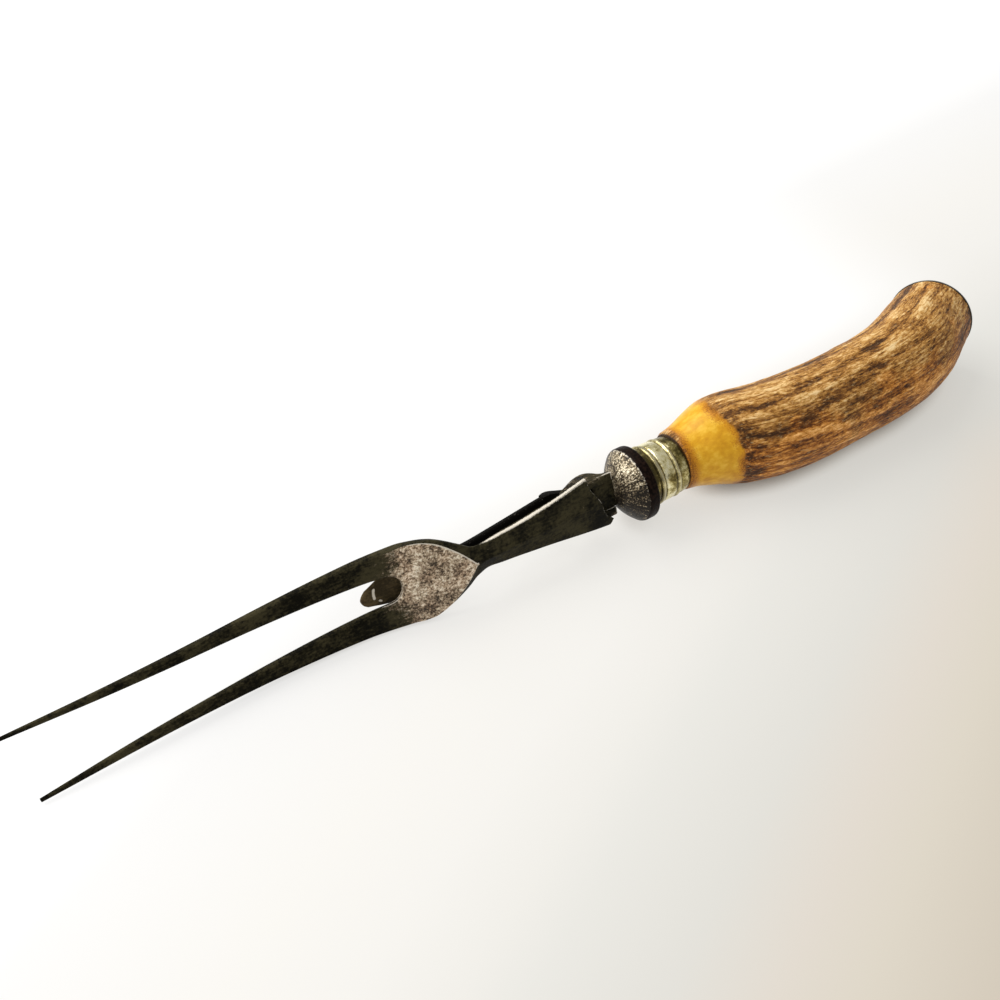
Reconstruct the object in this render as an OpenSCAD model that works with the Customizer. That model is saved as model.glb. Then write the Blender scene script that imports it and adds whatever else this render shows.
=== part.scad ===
// Carving fork with a folding hand guard and an antler handle.
// Fork frame: +X from the tines to the handle, +Y from the lower to the upper tine,
// +Z out of the front face, origin in the bolster's front edge. The whole fork is then
// laid on its side: row +Z up, row +X along the fork, row +Y towards the guard's side.

/* [Tines] */
// Length of the tines from the root of their gap to the tips
tine_length = 96.5; // [80:0.5:115]
// Distance between the middles of the two tips
tip_spread = 19.5; // [16:0.1:24]
// How far the upper tip reaches past the lower one
tip_lead = 1.6; // [0:0.2:3]
// Width of a tine at its very tip
tip_width = 1.0; // [0.8:0.1:1.6]
// Thickness of a tine at its very tip
tip_thickness = 0.7; // [0.5:0.1:1.2]
// Width of the gap between the tines at its root
gap_width = 8.4; // [7:0.2:10]
// How far the tines sag behind the front of the shoulder
tine_sag = 4.3; // [2:0.1:6]
// How far the tips come forward again from the deepest sag
tip_rise = 2.3; // [0.5:0.1:4]

/* [Shoulder and shank] */
// Widest part of the shoulder
shoulder_width = 23.4; // [20:0.2:28]
// Length of the shoulder from the gap's root to its point on the shank
shoulder_length = 19; // [17:0.5:24]
// Thickness of the shoulder
shoulder_thickness = 2.3; // [2:0.1:2.7]
// Width of the bevel beside the shoulder's point
shoulder_bevel = 2.1; // [0.8:0.1:2.4]
// Length of the shank from the shoulder's point to the bolster
shank_length = 48.5; // [44:0.5:60]
// Width of the shank at its narrowest
neck_width = 7.6; // [6:0.2:9]
// How far the neck stands off the fork's middle, towards the lower tine
neck_offset = 0.5; // [0:0.1:0.8]
// Height of the neck's side wall
neck_wall = 0.9; // [0.6:0.1:1.2]
// Width of the flared end of the shank
flare_width = 16.4; // [15:0.2:20]
// Thickness of the flare at its edges
flare_thickness = 1.7; // [1.4:0.1:2.2]
// Height of the ridge above the flare's edges
ridge_height = 1.1; // [0.5:0.1:1.5]
// How far the flare's lower corner reaches past its upper one
flare_skew = 4; // [2:0.5:5]

/* [Hinge] */
// Distance of the hinge pin in front of the bolster
pin_setback = 12.4; // [12:0.1:13]
// Depth of the hinge pin behind the flare's back
pin_depth = 3.1; // [3:0.05:3.2]
// Diameter of the hinge pin
pin_d = 1.8; // [1.4:0.1:2]
// Radial play between the pin and the guard's knuckle
pin_play = 0.05; // [0.02:0.01:0.1]
// Thickness of each cheek beside the knuckle
cheek_thickness = 2.1; // [2:0.1:2.8]
// Depth of the cheeks behind the flare's back
cheek_depth = 4.6; // [4.5:0.05:5.2]
// Height of the cheeks' front above the flare's back
cheek_rise = 1.1; // [0.6:0.1:1.5]
// Width of the neck between the cheeks
hinge_neck_width = 8.8; // [8.6:0.1:9.2]

/* [Guard] */
// Radius of the knuckle round the pin
knuckle_radius = 2.1; // [1.8:0.05:2.15]
// Play on each side of the knuckle between the cheeks
knuckle_play = 0.25; // [0.1:0.05:0.4]
// Width of the guard's arm at its heel
arm_width = 8.2; // [7.6:0.1:8.2]
// Width of the arm at its narrowest, by the shoulder
arm_waist = 5.3; // [4:0.1:6]
// Thickness of the guard's arm
arm_thickness = 1.9; // [1.5:0.1:2.2]
// Width of the guard's leaf
leaf_width = 9.4; // [8:0.2:12]
// Thickness of the leaf at its point
leaf_thickness = 0.9; // [0.8:0.1:1.4]
// How far the leaf's point passes the root of the gap
leaf_reach = 10.9; // [8:0.1:14]
// How far the leaf stands off the fork's middle, towards the lower tine
leaf_offset = 1.3; // [0:0.1:1.5]
// Distance kept between the folded leaf and the back of the tines
leaf_gap = 0.65; // [0.5:0.05:1]
// How far the arm's heel stands behind the flare's back
heel_depth = 5.7; // [5.6:0.1:6.6]

/* [Spring] */
// Width of the leaf spring
spring_width = 4.4; // [3.6:0.1:6]
// Thickness of the leaf spring
spring_thickness = 0.6; // [0.4:0.05:0.7]
// Distance of the spring's screw in front of the hinge pin
spring_span = 25; // [20:0.5:27]
// Play between the spring and the knuckle
spring_play = 0.15; // [0.1:0.05:0.2]
// Diameter of the spring screw's head
screw_head_d = 3.6; // [3:0.1:4.2]

/* [Bolster and ferrule] */
// Diameter of the bolster's disc
bolster_d = 21.2; // [19:0.2:24]
// How far the disc stands off the fork's middle, towards the lower tine
bolster_offset = 0.4; // [0:0.1:0.6]
// Width of the disc's rim
bolster_rim = 3.4; // [2.5:0.1:4.5]
// Length of the rounded cone in front of the disc
bolster_cone = 4.4; // [3.4:0.1:5.4]
// Length of the ferrule
ferrule_length = 12; // [10:0.5:15]
// Outer diameter of the ferrule at the handle
ferrule_d = 16; // [15:0.2:18]
// Wall of the ferrule
ferrule_wall = 0.6; // [0.4:0.1:0.9]
// Height of the ferrule's beads above its end
bead_height = 0.65; // [0.3:0.05:1]

/* [Handle] */
// Length of the antler from the ferrule to the cap, along the fork
handle_length = 110; // [95:0.5:125]
// Thickness of the handle at its middle
handle_d = 28; // [26:0.2:32]
// Thickness of the handle at its butt
butt_d = 25.6; // [21:0.2:27]
// How far the middle of the handle bends to the front
handle_belly = 4.3; // [2:0.1:8]
// How far the middle of the handle bends towards the lower tine
handle_sway = 1.9; // [0:0.1:3]
// How far the butt bends to the back
butt_drop = 9.9; // [6:0.1:12]
// Length of the tang inside the handle
tang_length = 58; // [45:1:65]
// Width of the tang at the bolster
tang_width = 6; // [5:0.2:7]
// Angle of the tang and its bore to the shank
tang_angle = 4; // [2:0.5:5]
// Diameter of the bore for the tang
bore_d = 9; // [8.4:0.2:10]

/* [Butt cap] */
// Thickness of the cap's rim
cap_rim = 0.8; // [0.7:0.1:2]
// Height of the cap's dome
cap_dome = 1.0; // [0.6:0.1:2]
// How far the cap's rim stands out from the antler
cap_lip = 0.1; // [0:0.1:0.8]
// Diameter of the cap nail's head
nail_head_d = 3.2; // [2.4:0.1:4.5]

/* [Resting pose] */
// Angle by which the front face tips up from vertical
rest_roll = 16.2; // [14:0.1:22]
// Angle by which the shank rises towards the handle
rest_tilt = 0.89; // [0:0.01:2]
// Height of the bolster's centre above the table
rest_height = 13.62; // [8:0.01:20]

/* [Hidden] */

// How finely round surfaces are drawn
facets_fine = 64;
facets_pin = 48;

// Places along the fork
x_point = -shank_length;
x_root = x_point - shoulder_length;
x_tip = x_root - tine_length;
x_flare = -11.5;
x_neck = x_point + 3.5;
x_pin = -pin_setback;
z_pin = -pin_depth;
x_ferrule = bolster_rim;
x_handle = x_ferrule + ferrule_length;
x_butt = x_handle + handle_length;

// Smooth curve through a list of [x, value] points
function span_at(pts, x, i = 0) =
    (i >= len(pts) - 2 || x <= pts[i + 1][0]) ? i : span_at(pts, x, i + 1);
function rise_at(pts, i) =
    let (a = max(i - 1, 0), b = min(i + 1, len(pts) - 1))
    (pts[b][1] - pts[a][1]) / (pts[b][0] - pts[a][0]);
function smooth(pts, x) =
    let (i = span_at(pts, x),
         w = pts[i + 1][0] - pts[i][0],
         t = min(max((x - pts[i][0]) / w, 0), 1),
         u = 1 - t)
    pts[i][1] * u * u * (1 + 2 * t) + pts[i + 1][1] * t * t * (1 + 2 * u)
    + rise_at(pts, i) * w * t * u * u - rise_at(pts, i + 1) * w * t * t * u;

// Half widths and heights of the blade, each a curve along the fork
tine_at = function (share) x_root - share * tine_length;
face_at_root = 1.53 - 0.175 * shoulder_length;
sag_z = 0.2 - tine_sag;
half_shoulder = shoulder_width / 2;
shoulder_at = function (share) x_root + share * shoulder_length;
outline_pts = [
    [x_tip, tip_spread / 2 + tip_width / 2],
    [tine_at(0.75), half_shoulder - 2.05],
    [tine_at(0.5), half_shoulder - 1.9],
    [tine_at(0.2), half_shoulder - 0.8],
    [x_root, half_shoulder + 0.05],
    [shoulder_at(0.15), half_shoulder],
    [shoulder_at(0.37), half_shoulder - 0.6],
    [shoulder_at(0.6), half_shoulder - 2.3],
    [shoulder_at(0.85), half_shoulder - 5.2],
    [x_point, neck_width / 2 + 0.7],
    [x_neck, neck_width / 2],
    [x_neck + 0.12 * (x_flare - x_neck), neck_width / 2 + 0.3],
    [x_neck + 0.3 * (x_flare - x_neck), neck_width / 2 + 0.8],
    [x_neck + 0.6 * (x_flare - x_neck), flare_width / 2 - 2.25],
    [x_flare, flare_width / 2],
    [0, flare_width / 2 + 0.9]];
face_pts = [
    [x_tip, tip_spread / 2 + tip_width / 2 - 0.15],
    [tine_at(0.6), half_shoulder - 2.5],
    [tine_at(0.2), half_shoulder - 1.3],
    [x_root, half_shoulder - 0.35],
    [shoulder_at(0.2), half_shoulder - 0.1],
    [shoulder_at(0.36), half_shoulder - 0.8],
    [shoulder_at(0.57), half_shoulder - 0.8 - shoulder_bevel],
    [shoulder_at(0.78), half_shoulder - 4.3 - shoulder_bevel],
    [shoulder_at(0.9), 2.7],
    [x_point, 0.15]];
front_pts = [
    [x_tip, sag_z + tip_rise],
    [tine_at(0.62), sag_z + 1],
    [tine_at(0.35), sag_z],
    [tine_at(0.12), sag_z + 0.5],
    [x_root, face_at_root],
    [shoulder_at(0.35), face_at_root + 0.1 * shoulder_length],
    [x_point, flare_thickness + ridge_height - 0.4],
    [x_neck, flare_thickness + ridge_height - 0.5],
    [x_flare, flare_thickness + ridge_height],
    [0, flare_thickness + ridge_height]];
thickness_pts = [
    [x_tip, tip_thickness],
    [tine_at(0.6), shoulder_thickness - 0.6],
    [tine_at(0.1), shoulder_thickness - 0.2],
    [shoulder_at(0.35), shoulder_thickness],
    [x_point, shoulder_thickness + 0.2],
    [x_neck + 5, flare_thickness + ridge_height + 0.5],
    [x_flare - 10, flare_thickness + ridge_height],
    [0, flare_thickness + ridge_height]];
edge_drop_pts = [
    [x_tip, 0.25 * tip_thickness],
    [tine_at(0.2), 0.6],
    [shoulder_at(0.3), 0.6],
    [x_point, shoulder_thickness + 0.2 - neck_wall],
    [x_neck, shoulder_thickness + 0.6 - neck_wall],
    [x_neck + 5, flare_thickness + ridge_height - 0.3 - neck_wall],
    [x_neck + 14, ridge_height],
    [0, ridge_height]];
// How far the blade's middle stands off the fork's, towards the upper tine
blade_mid_pts = [
    [shoulder_at(0.5), 0],
    [shoulder_at(0.9), -neck_offset],
    [x_neck + 2, -neck_offset],
    [x_neck + 0.6 * (x_flare - x_neck), -0.2 * neck_offset],
    [x_flare, 0]];
gap_pts = [
    [x_tip, tip_spread / 2 - tip_width / 2],
    [tine_at(0.72), gap_width / 2 + 2.95],
    [tine_at(0.35), gap_width / 2 + 1.3],
    [x_root - gap_width / 2, gap_width / 2]];

ridge_half = 0.15;
function outline_half(x) = smooth(outline_pts, x);
function face_half(x) = x >= x_point ? ridge_half : smooth(face_pts, x);
function front_z(x) = smooth(front_pts, x);
function back_z(x) = front_z(x) - smooth(thickness_pts, x);
function edge_z(x) = front_z(x) - smooth(edge_drop_pts, x);
function blade_mid(x) = smooth(blade_mid_pts, x);

// Stations along the blade, closer together round the shoulder
blade_end = x_flare + 6;
tine_steps = 26;
shoulder_steps = 20;
shank_steps = 14;
blade_xs = concat(
    [for (i = [0:tine_steps]) x_tip + (x_root - x_tip) * i / tine_steps],
    [for (i = [1:shoulder_steps]) x_root + shoulder_length * i / shoulder_steps],
    [for (i = [1:shank_steps]) x_point + (blade_end - x_point) * i / shank_steps]);
// The upper tip leads the lower one, growing along the tines
function tip_shift(x, y) =
    let (share = max(x_root - x, 0) / tine_length)
    -share * share * tip_lead * y / tip_spread;
function blade_point(x, y, z) = [x + tip_shift(x, y), y + blade_mid(x), z];
function blade_ring(x) = [
    blade_point(x, -outline_half(x), back_z(x)),
    blade_point(x, -outline_half(x), edge_z(x)),
    blade_point(x, -face_half(x), front_z(x)),
    blade_point(x, face_half(x), front_z(x)),
    blade_point(x, outline_half(x), edge_z(x)),
    blade_point(x, outline_half(x), back_z(x))];

// Closed tube through rings of equal count, its sides split into triangles
module skin(rings) {
    n = len(rings[0]);
    m = len(rings);
    points = [for (r = rings) each r];
    sides = [for (i = [0:m - 2], j = [0:n - 1])
        let (a = i * n + j, b = i * n + (j + 1) % n)
        each [[a, b, b + n], [a, b + n, a + n]]];
    ends = [[for (j = [n - 1:-1:0]) j], [for (j = [0:n - 1]) (m - 1) * n + j]];
    polyhedron(points, concat(sides, ends), convexity = 6);
}

// Cylinder along Y, centred on Y = 0, at a place in the XZ plane
module cross_pin(x, z, r, length, fn = facets_pin) {
    translate([x, 0, z]) rotate([90, 0, 0])
        cylinder(r = r, h = length, center = true, $fn = fn);
}

// Profile in the XZ plane, extruded along Y about Y = 0
module side_slab(width, points) {
    rotate([90, 0, 0]) linear_extrude(height = width, center = true) polygon(points);
}

// Lathe work about the fork's own axis, from [x, radius] points
module turned(points, fn = facets_fine) {
    rotate([0, 90, 0]) rotate_extrude($fn = fn)
        polygon([for (p = points) [p[1], p[0]]]);
}

// The fork frame laid on the table
rest_shift_x = 16.6;
rest_shift_y = -1.5;
module laid() {
    translate([rest_shift_x, rest_shift_y, rest_height])
        rotate([0, -rest_tilt, 0]) rotate([90 - rest_roll, 0, 0]) children();
}

// Gap between the tines, open at the tips and round at its root
gap_steps = 24;
cut_depth = 4 * (tine_sag + heel_depth);
module gap_cut() {
    x_round = x_root - gap_width / 2;
    xs = [for (i = [0:gap_steps]) x_tip + (x_round - x_tip) * i / gap_steps];
    upper = [for (x = xs) [x, smooth(gap_pts, x)]];
    lower = [for (i = [gap_steps:-1:0]) [xs[i], -smooth(gap_pts, xs[i])]];
    over = 1 + tip_lead;
    translate([0, 0, -cut_depth / 2]) linear_extrude(height = cut_depth)
        union() {
            polygon(concat([[x_tip - over, upper[0][1]]], upper, lower,
                           [[x_tip - over, -upper[0][1]]]));
            translate([x_round, 0]) circle(d = gap_width, $fn = facets_pin);
        }
}

// Outline that the flare keeps: its end runs out to a point at the ridge, and its lower
// corner sweeps forward over the cheek
flare_end_pts = [
    [-0.4, 1.1], [-0.4, 0.98], [-0.35, 0.72], [-0.1, 0.42], [0.25, 0.15], [0.4, -0.1],
    [0.5, -0.42], [0.6, -0.55], [1.0, -0.7], [1.3, -0.76], [1.1, -0.86], [0.75, -1],
    [0.4, -1.1]];
module flare_keep() {
    half = flare_width / 2;
    end = [for (p = flare_end_pts) [x_flare + p[0] * flare_skew, p[1] * half]];
    over = 1 + tip_lead;
    translate([0, 0, -cut_depth / 2]) linear_extrude(height = cut_depth)
        polygon(concat([[x_tip - over, 2 * half]], [[end[0][0], 2 * half]], end,
                       [[end[len(end) - 1][0], -2 * half], [x_tip - over, -2 * half]]));
}

module blade_body() {
    intersection() {
        difference() {
            skin([for (x = blade_xs) blade_ring(x)]);
            gap_cut();
        }
        flare_keep();
    }
}

// Cheek on one side of the hinge, humped round the pin and blunt in front
cheek_in = hinge_neck_width / 2;
cheek_front = -4.7;
cheek_pts = [
    [-8.6, 0.3], [-7.3, -1.1], [-5, -2.4], [-2.6, -3.7], [-0.7, -cheek_depth + 0.2],
    [1, -cheek_depth], [2.6, -cheek_depth + 0.5], [3.8, -cheek_depth + 1.7],
    [4.7, -cheek_depth + 3.1], [5.6, -0.7]];
module cheek(side) {
    y_mid = side * (cheek_in + cheek_thickness / 2);
    translate([0, y_mid, 0])
        side_slab(cheek_thickness, concat(
            [for (p = cheek_pts) [x_pin + p[0], p[1]]],
            [[cheek_front - 0.5, -0.4], [cheek_front, 0], [cheek_front, cheek_rise - 0.3],
             [cheek_front - 0.4, cheek_rise], [x_flare - 2, cheek_rise],
             [x_flare - 3, 0.3]]));
}

// Neck that joins the flare and the cheeks to the bolster
hinge_neck_back = 3.4;
hinge_neck_front = 0.2;
knuckle_room = 0.4;
module hinge_neck() {
    x_start = x_pin + 1.6;
    difference() {
        translate([x_start, -cheek_in, -hinge_neck_back])
            cube([-x_start - bolster_cone / 2, hinge_neck_width,
                  hinge_neck_back + hinge_neck_front]);
        cross_pin(x_pin, z_pin, knuckle_radius + knuckle_room, hinge_neck_width + 1);
    }
}

// Disc of the bolster with its rounded cone in front
bolster_r = bolster_d / 2;
bolster_edge = 0.4;
module bolster() {
    turned([
        [-bolster_cone, 0],
        [-bolster_cone, 0.36 * bolster_r],
        [-0.93 * bolster_cone, 0.45 * bolster_r],
        [-0.75 * bolster_cone, 0.58 * bolster_r],
        [-0.5 * bolster_cone, 0.73 * bolster_r],
        [-0.25 * bolster_cone, 0.85 * bolster_r],
        [-0.05 * bolster_cone, 0.93 * bolster_r],
        [bolster_edge, 0.98 * bolster_r],
        [1.1, bolster_r],
        [bolster_rim - bolster_edge, bolster_r],
        [bolster_rim, bolster_r - bolster_edge],
        [bolster_rim, 0]]);
}

// Tang, tapered along its own leaning axis
tang_depth_share = 0.7;
tang_tip_share = 0.45;
module tang_axis() {
    translate([bolster_rim, 0, 0]) rotate([0, -tang_angle, 0]) children();
}
module tang() {
    half = tang_width / 2;
    tip = half * tang_tip_share;
    overlap = 1;
    tang_axis() intersection() {
        translate([0, 0, -half * tang_depth_share])
            linear_extrude(height = tang_width * tang_depth_share)
                polygon([[-overlap, -half], [tang_length, -tip],
                         [tang_length, tip], [-overlap, half]]);
        side_slab(2 * tang_width, [
            [-overlap, -half * tang_depth_share], [tang_length, -tip * tang_depth_share],
            [tang_length, tip * tang_depth_share], [-overlap, half * tang_depth_share]]);
    }
}

screw_shank_d = 1.8;
screw_hold = 1.6;
x_screw = x_pin - spring_span;
module fork_solid() {
    difference() {
        union() {
            blade_body();
            cheek(1);
            cheek(-1);
            hinge_neck();
            translate([0, -bolster_offset, 0]) bolster();
            tang();
        }
        cross_pin(x_pin, z_pin, pin_d / 2, flare_width * 2);
        spring_seat_cut();
        spring_frame() translate([0, 0, -1])
            cylinder(d = screw_shank_d, h = screw_hold + 1, $fn = facets_pin);
    }
}

// Guard: its outline seen from the front, and its profile seen from the side
x_leaf = x_root - leaf_reach;
leaf_rest = back_z(x_root - gap_width / 2) - leaf_gap;
heel_z = -heel_depth;
knuckle_width = hinge_neck_width - 2 * knuckle_play;
heel_x = x_pin - 8;
nose_length = 5.5;
arm_pts = [
    [x_leaf + nose_length, leaf_width / 2 - 0.9],
    [x_leaf + 9.5, leaf_width / 2],
    [x_leaf + 15, leaf_width / 2 - 0.3],
    [x_point - 6, arm_waist / 2 + 0.6],
    [x_point - 1, arm_waist / 2],
    [x_point + 8, arm_waist / 2 + 0.35],
    [heel_x, arm_width / 2]];
leaf_nose = [[0, 0], [0.15, 0.7], [0.6, 1.5], [1.6, 2.4], [3.2, leaf_width / 2 - 1.75]];
arm_steps = 22;
function arm_xs() = [for (i = [0:arm_steps])
    x_leaf + nose_length + (heel_x - x_leaf - nose_length) * i / arm_steps];
guard_front_pts = [
    [x_leaf, leaf_rest - 0.1],
    [x_leaf + 8, leaf_rest - 0.05],
    [x_point - 2, heel_z + 1.8],
    [x_point + 8, heel_z + 1.5],
    [heel_x, heel_z]];
function guard_front(x) = smooth(guard_front_pts, x);
leaf_taper_length = 18;
function guard_back(x) =
    guard_front(x) - arm_thickness
    + (arm_thickness - leaf_thickness) * (1 - min(max((x - x_leaf) / leaf_taper_length, 0), 1));

function arm_off(x) = -leaf_offset * pow(min(max((heel_x - x) / (heel_x - x_leaf), 0), 1), 2);
module guard_outline() {
    side = concat([for (p = leaf_nose) [x_leaf + p[0], p[1]]],
                  [for (x = arm_xs()) [x, smooth(arm_pts, x)]],
                  [[heel_x + 1.2, knuckle_width / 2], [x_pin + 4, knuckle_width / 2]]);
    last = len(side) - 1;
    linear_extrude(height = cut_depth, center = true)
        polygon(concat(
            [for (p = side) [p[0], arm_off(p[0]) + p[1]]],
            [for (i = [last:-1:1]) [side[i][0], arm_off(side[i][0]) - side[i][1]]]));
}

profile_steps = 16;
heel_nub = 0.5;
module guard_profile() {
    xs = [for (i = [0:profile_steps]) x_leaf + (heel_x - x_leaf) * i / profile_steps];
    k = knuckle_radius;
    side_slab(2 * leaf_width, concat(
        [for (x = xs) [x, guard_front(x)]],
        [[heel_x + 2, heel_z + 1.3], [x_pin - 0.85 * k, z_pin + 0.5 * k],
         [x_pin, z_pin], [x_pin - 0.35 * k, z_pin - 0.9 * k],
         [x_pin - 2.6, z_pin - 1.5], [x_pin - 4.6, z_pin - 2.3],
         [x_pin - 6.2, heel_z - 0.5 * arm_thickness],
         [x_pin - 7.3, heel_z - arm_thickness],
         [heel_x - 0.3, heel_z - arm_thickness - heel_nub],
         [heel_x - 1.4, heel_z - arm_thickness - heel_nub],
         [heel_x - 2.6, heel_z - arm_thickness]],
        [for (i = [profile_steps - 1:-1:0]) [xs[i], guard_back(xs[i])]]));
}

module guard_solid() {
    difference() {
        union() {
            intersection() {
                guard_outline();
                guard_profile();
            }
            cross_pin(x_pin, z_pin, knuckle_radius, knuckle_width, facets_fine);
        }
        cross_pin(x_pin, z_pin, pin_d / 2 + pin_play, knuckle_width + 1);
    }
}

// Leaf spring, straight, let into the shank's back at its screw and free at the knuckle
spring_tail = 3.2;
spring_seat = 0.15;
seat_play = 0.1;
spring_z = back_z(x_screw) + spring_seat;
spring_free_z = z_pin + knuckle_radius + spring_play + spring_thickness;
spring_lean = atan2(spring_free_z - spring_z, spring_span);
spring_reach = spring_span + 0.8;
module spring_frame() {
    translate([x_screw, 0, spring_z]) rotate([0, -spring_lean, 0]) children();
}
module spring_solid() {
    spring_frame() difference() {
        translate([-spring_tail, -spring_width / 2, -spring_thickness])
            cube([spring_tail + spring_reach, spring_width, spring_thickness]);
        cylinder(d = screw_shank_d, h = 4 * spring_thickness, center = true, $fn = facets_pin);
    }
}
module spring_seat_cut() {
    spring_frame()
        translate([-spring_tail - seat_play, -spring_width / 2 - seat_play, -2])
            cube([spring_tail + spring_reach, spring_width + 2 * seat_play, 2]);
}

// Small slotted screw that holds the spring to the shank's back
screw_head_h = 0.8;
screw_slot = 0.6;
screw_slot_depth = 0.4;
module screw_solid() {
    z_seat = -spring_thickness;
    spring_frame() difference() {
        union() {
            translate([0, 0, z_seat - screw_head_h])
                cylinder(d = screw_head_d, h = screw_head_h, $fn = facets_pin);
            translate([0, 0, z_seat - screw_head_h / 2])
                cylinder(d = screw_shank_d,
                         h = screw_head_h / 2 + spring_thickness + screw_hold,
                         $fn = facets_pin);
        }
        translate([-screw_head_d, -screw_slot / 2, z_seat - screw_head_h - 1])
            cube([screw_head_d * 2, screw_slot, 1 + screw_slot_depth]);
    }
}

// Ferrule with two beads and a band between them
ferrule_r = ferrule_d / 2;
ferrule_bore_r = ferrule_r - ferrule_wall;
module ferrule_solid() {
    e = ferrule_r;
    b = ferrule_r + bead_height;
    w = (e + b) / 2;
    l = ferrule_length;
    x0 = x_ferrule;
    turned([
        [x0, ferrule_bore_r], [x0, w], [x0 + 0.14 * l, w + 0.1], [x0 + 0.2 * l, e + 0.1],
        [x0 + 0.23 * l, b - 0.05], [x0 + 0.27 * l, b], [x0 + 0.31 * l, b - 0.1],
        [x0 + 0.34 * l, w], [x0 + 0.5 * l, w + 0.1], [x0 + 0.63 * l, w],
        [x0 + 0.66 * l, e], [x0 + 0.69 * l, b - 0.15], [x0 + 0.72 * l, b - 0.1],
        [x0 + 0.76 * l, w - 0.1], [x0 + 0.86 * l, w - 0.15], [x0 + l, e],
        [x0 + l, ferrule_bore_r]]);
}

// Bend of the handle's middle line: share of its length, share of the belly, share of the drop
handle_bend = [
    [0, 0, 0], [0.08, 0.07, 0], [0.16, 0.16, 0], [0.24, 0.64, 0], [0.32, 0.91, 0], [0.42, 1, 0],
    [0.55, 0.89, 0], [0.7, 0.62, 0], [0.83, 0.3, 0.23], [0.93, 0.05, 0.64], [1, 0, 1]];
// Thickness of the handle past its shoulder: share of its length, share of its diameter
handle_girth = [
    [0.09, 0.8], [0.15, 0.94], [0.22, 0.98], [0.36, 1], [0.5, 0.98], [0.7, 1], [0.85, 0.995]];
// Sideways bend: share of the length, share of the sway
handle_side = [[0, -0.25], [0.1, -0.35], [0.3, 0.68], [0.5, 1], [0.75, 0.84], [1, -0.1]];
handle_at = function (share) x_handle + share * handle_length;
handle_z_pts = [for (p = handle_bend)
    [handle_at(p[0]), p[1] * handle_belly - p[2] * butt_drop]];
handle_r_pts = concat(
    [[x_handle, ferrule_r + 0.5], [handle_at(0.04), ferrule_r + 1.3]],
    [for (p = handle_girth) [handle_at(p[0]), p[1] * handle_d / 2]],
    [[x_butt, butt_d / 2]]);
handle_y_pts = [for (p = handle_side) [handle_at(p[0]), -p[1] * handle_sway]];
handle_rings = 34;
ring_crowding = 1.15;
handle_sides = 32;
function handle_mid(x) = [x, smooth(handle_y_pts, x), smooth(handle_z_pts, x)];
function handle_lean(x) = atan2(
    smooth(handle_z_pts, min(x + 0.5, x_butt)) - smooth(handle_z_pts, max(x - 0.5, x_handle)),
    min(x + 0.5, x_butt) - max(x - 0.5, x_handle));
function handle_ring(x) =
    let (c = handle_mid(x), r = smooth(handle_r_pts, x),
         a = x <= x_handle ? 0 : handle_lean(x))
    [for (j = [0:handle_sides - 1])
        let (t = -360 * j / handle_sides, v = r * sin(t))
        [c[0] - v * sin(a), c[1] + r * cos(t), c[2] + v * cos(a)]];
butt_lean = handle_lean(x_butt);

module spigot(r) {
    translate([x_ferrule, 0, 0]) rotate([0, 90, 0])
        cylinder(r = r, h = ferrule_length + 1, $fn = facets_fine);
}
bore_length = tang_length + 2;
module tang_bore() {
    tang_axis() translate([-2, 0, 0]) rotate([0, 90, 0])
        cylinder(d = bore_d, h = bore_length + 2, $fn = facets_pin);
}
nail_d = 1.6;
nail_length = 14;
module butt_frame() {
    translate(handle_mid(x_butt)) rotate([0, -butt_lean, 0]) rotate([0, 90, 0]) children();
}
module handle_solid() {
    difference() {
        union() {
            skin([for (i = [0:handle_rings])
                handle_ring(x_handle + handle_length * pow(i / handle_rings, ring_crowding))]);
            spigot(ferrule_bore_r);
        }
        tang_bore();
        butt_frame() translate([0, 0, -nail_length + 0.5])
            cylinder(d = nail_d, h = nail_length + 1, $fn = facets_pin);
    }
}

// Resin that fills the bore round the tang
module cement_solid() {
    difference() {
        intersection() {
            tang_bore();
            translate([x_ferrule, -bore_d, -bore_d])
                cube([bore_length * 2, bore_d * 2, bore_d * 4]);
        }
        tang();
    }
}

// Low domed cap over the butt
cap_r = butt_d / 2 + cap_lip;
cap_edge = 0.3;
dome_steps = 8;
module cap_solid() {
    butt_frame() difference() {
        rotate_extrude($fn = facets_fine)
            polygon(concat([[0, 0], [cap_r, 0], [cap_r, cap_rim - cap_edge]],
                [for (i = [0:dome_steps])
                    let (a = 90 * i / dome_steps)
                    [(cap_r - cap_edge) * cos(a), cap_rim + cap_dome * sin(a)]]));
        translate([0, 0, -1]) cylinder(d = nail_d, h = cap_rim + cap_dome + 2, $fn = facets_pin);
    }
}

// Nail with a domed head through the cap into the antler
nail_head_h = 0.9;
module nail_solid() {
    seat = cap_rim + cap_dome;
    butt_frame() {
        translate([0, 0, -nail_length + 1])
            cylinder(d = nail_d, h = nail_length - 1 + seat, $fn = facets_pin);
        translate([0, 0, seat]) rotate_extrude($fn = facets_pin)
            polygon([[0, 0], [nail_head_d / 2, 0], [nail_head_d / 2 * 0.92, 0.35 * nail_head_h],
                     [nail_head_d / 2 * 0.6, 0.8 * nail_head_h], [0, nail_head_h]]);
    }
}

module fork_blade() { color("dimgray") laid() fork_solid(); }
module guard() { color("black") laid() guard_solid(); }
module guard_pin() {
    pin_length = hinge_neck_width + 2 * cheek_thickness;
    color("gray") laid() cross_pin(x_pin, z_pin, pin_d / 2, pin_length);
}
module guard_spring() { color("slategray") laid() spring_solid(); }
module spring_screw() { color("darkgray") laid() screw_solid(); }
module ferrule() { color("tan") laid() ferrule_solid(); }
module tang_cement() { color("saddlebrown") laid() cement_solid(); }
module handle() { color("peru") laid() handle_solid(); }
module butt_cap() { color("darkslategray") laid() cap_solid(); }
module cap_nail() { color("silver") laid() nail_solid(); }

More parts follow.
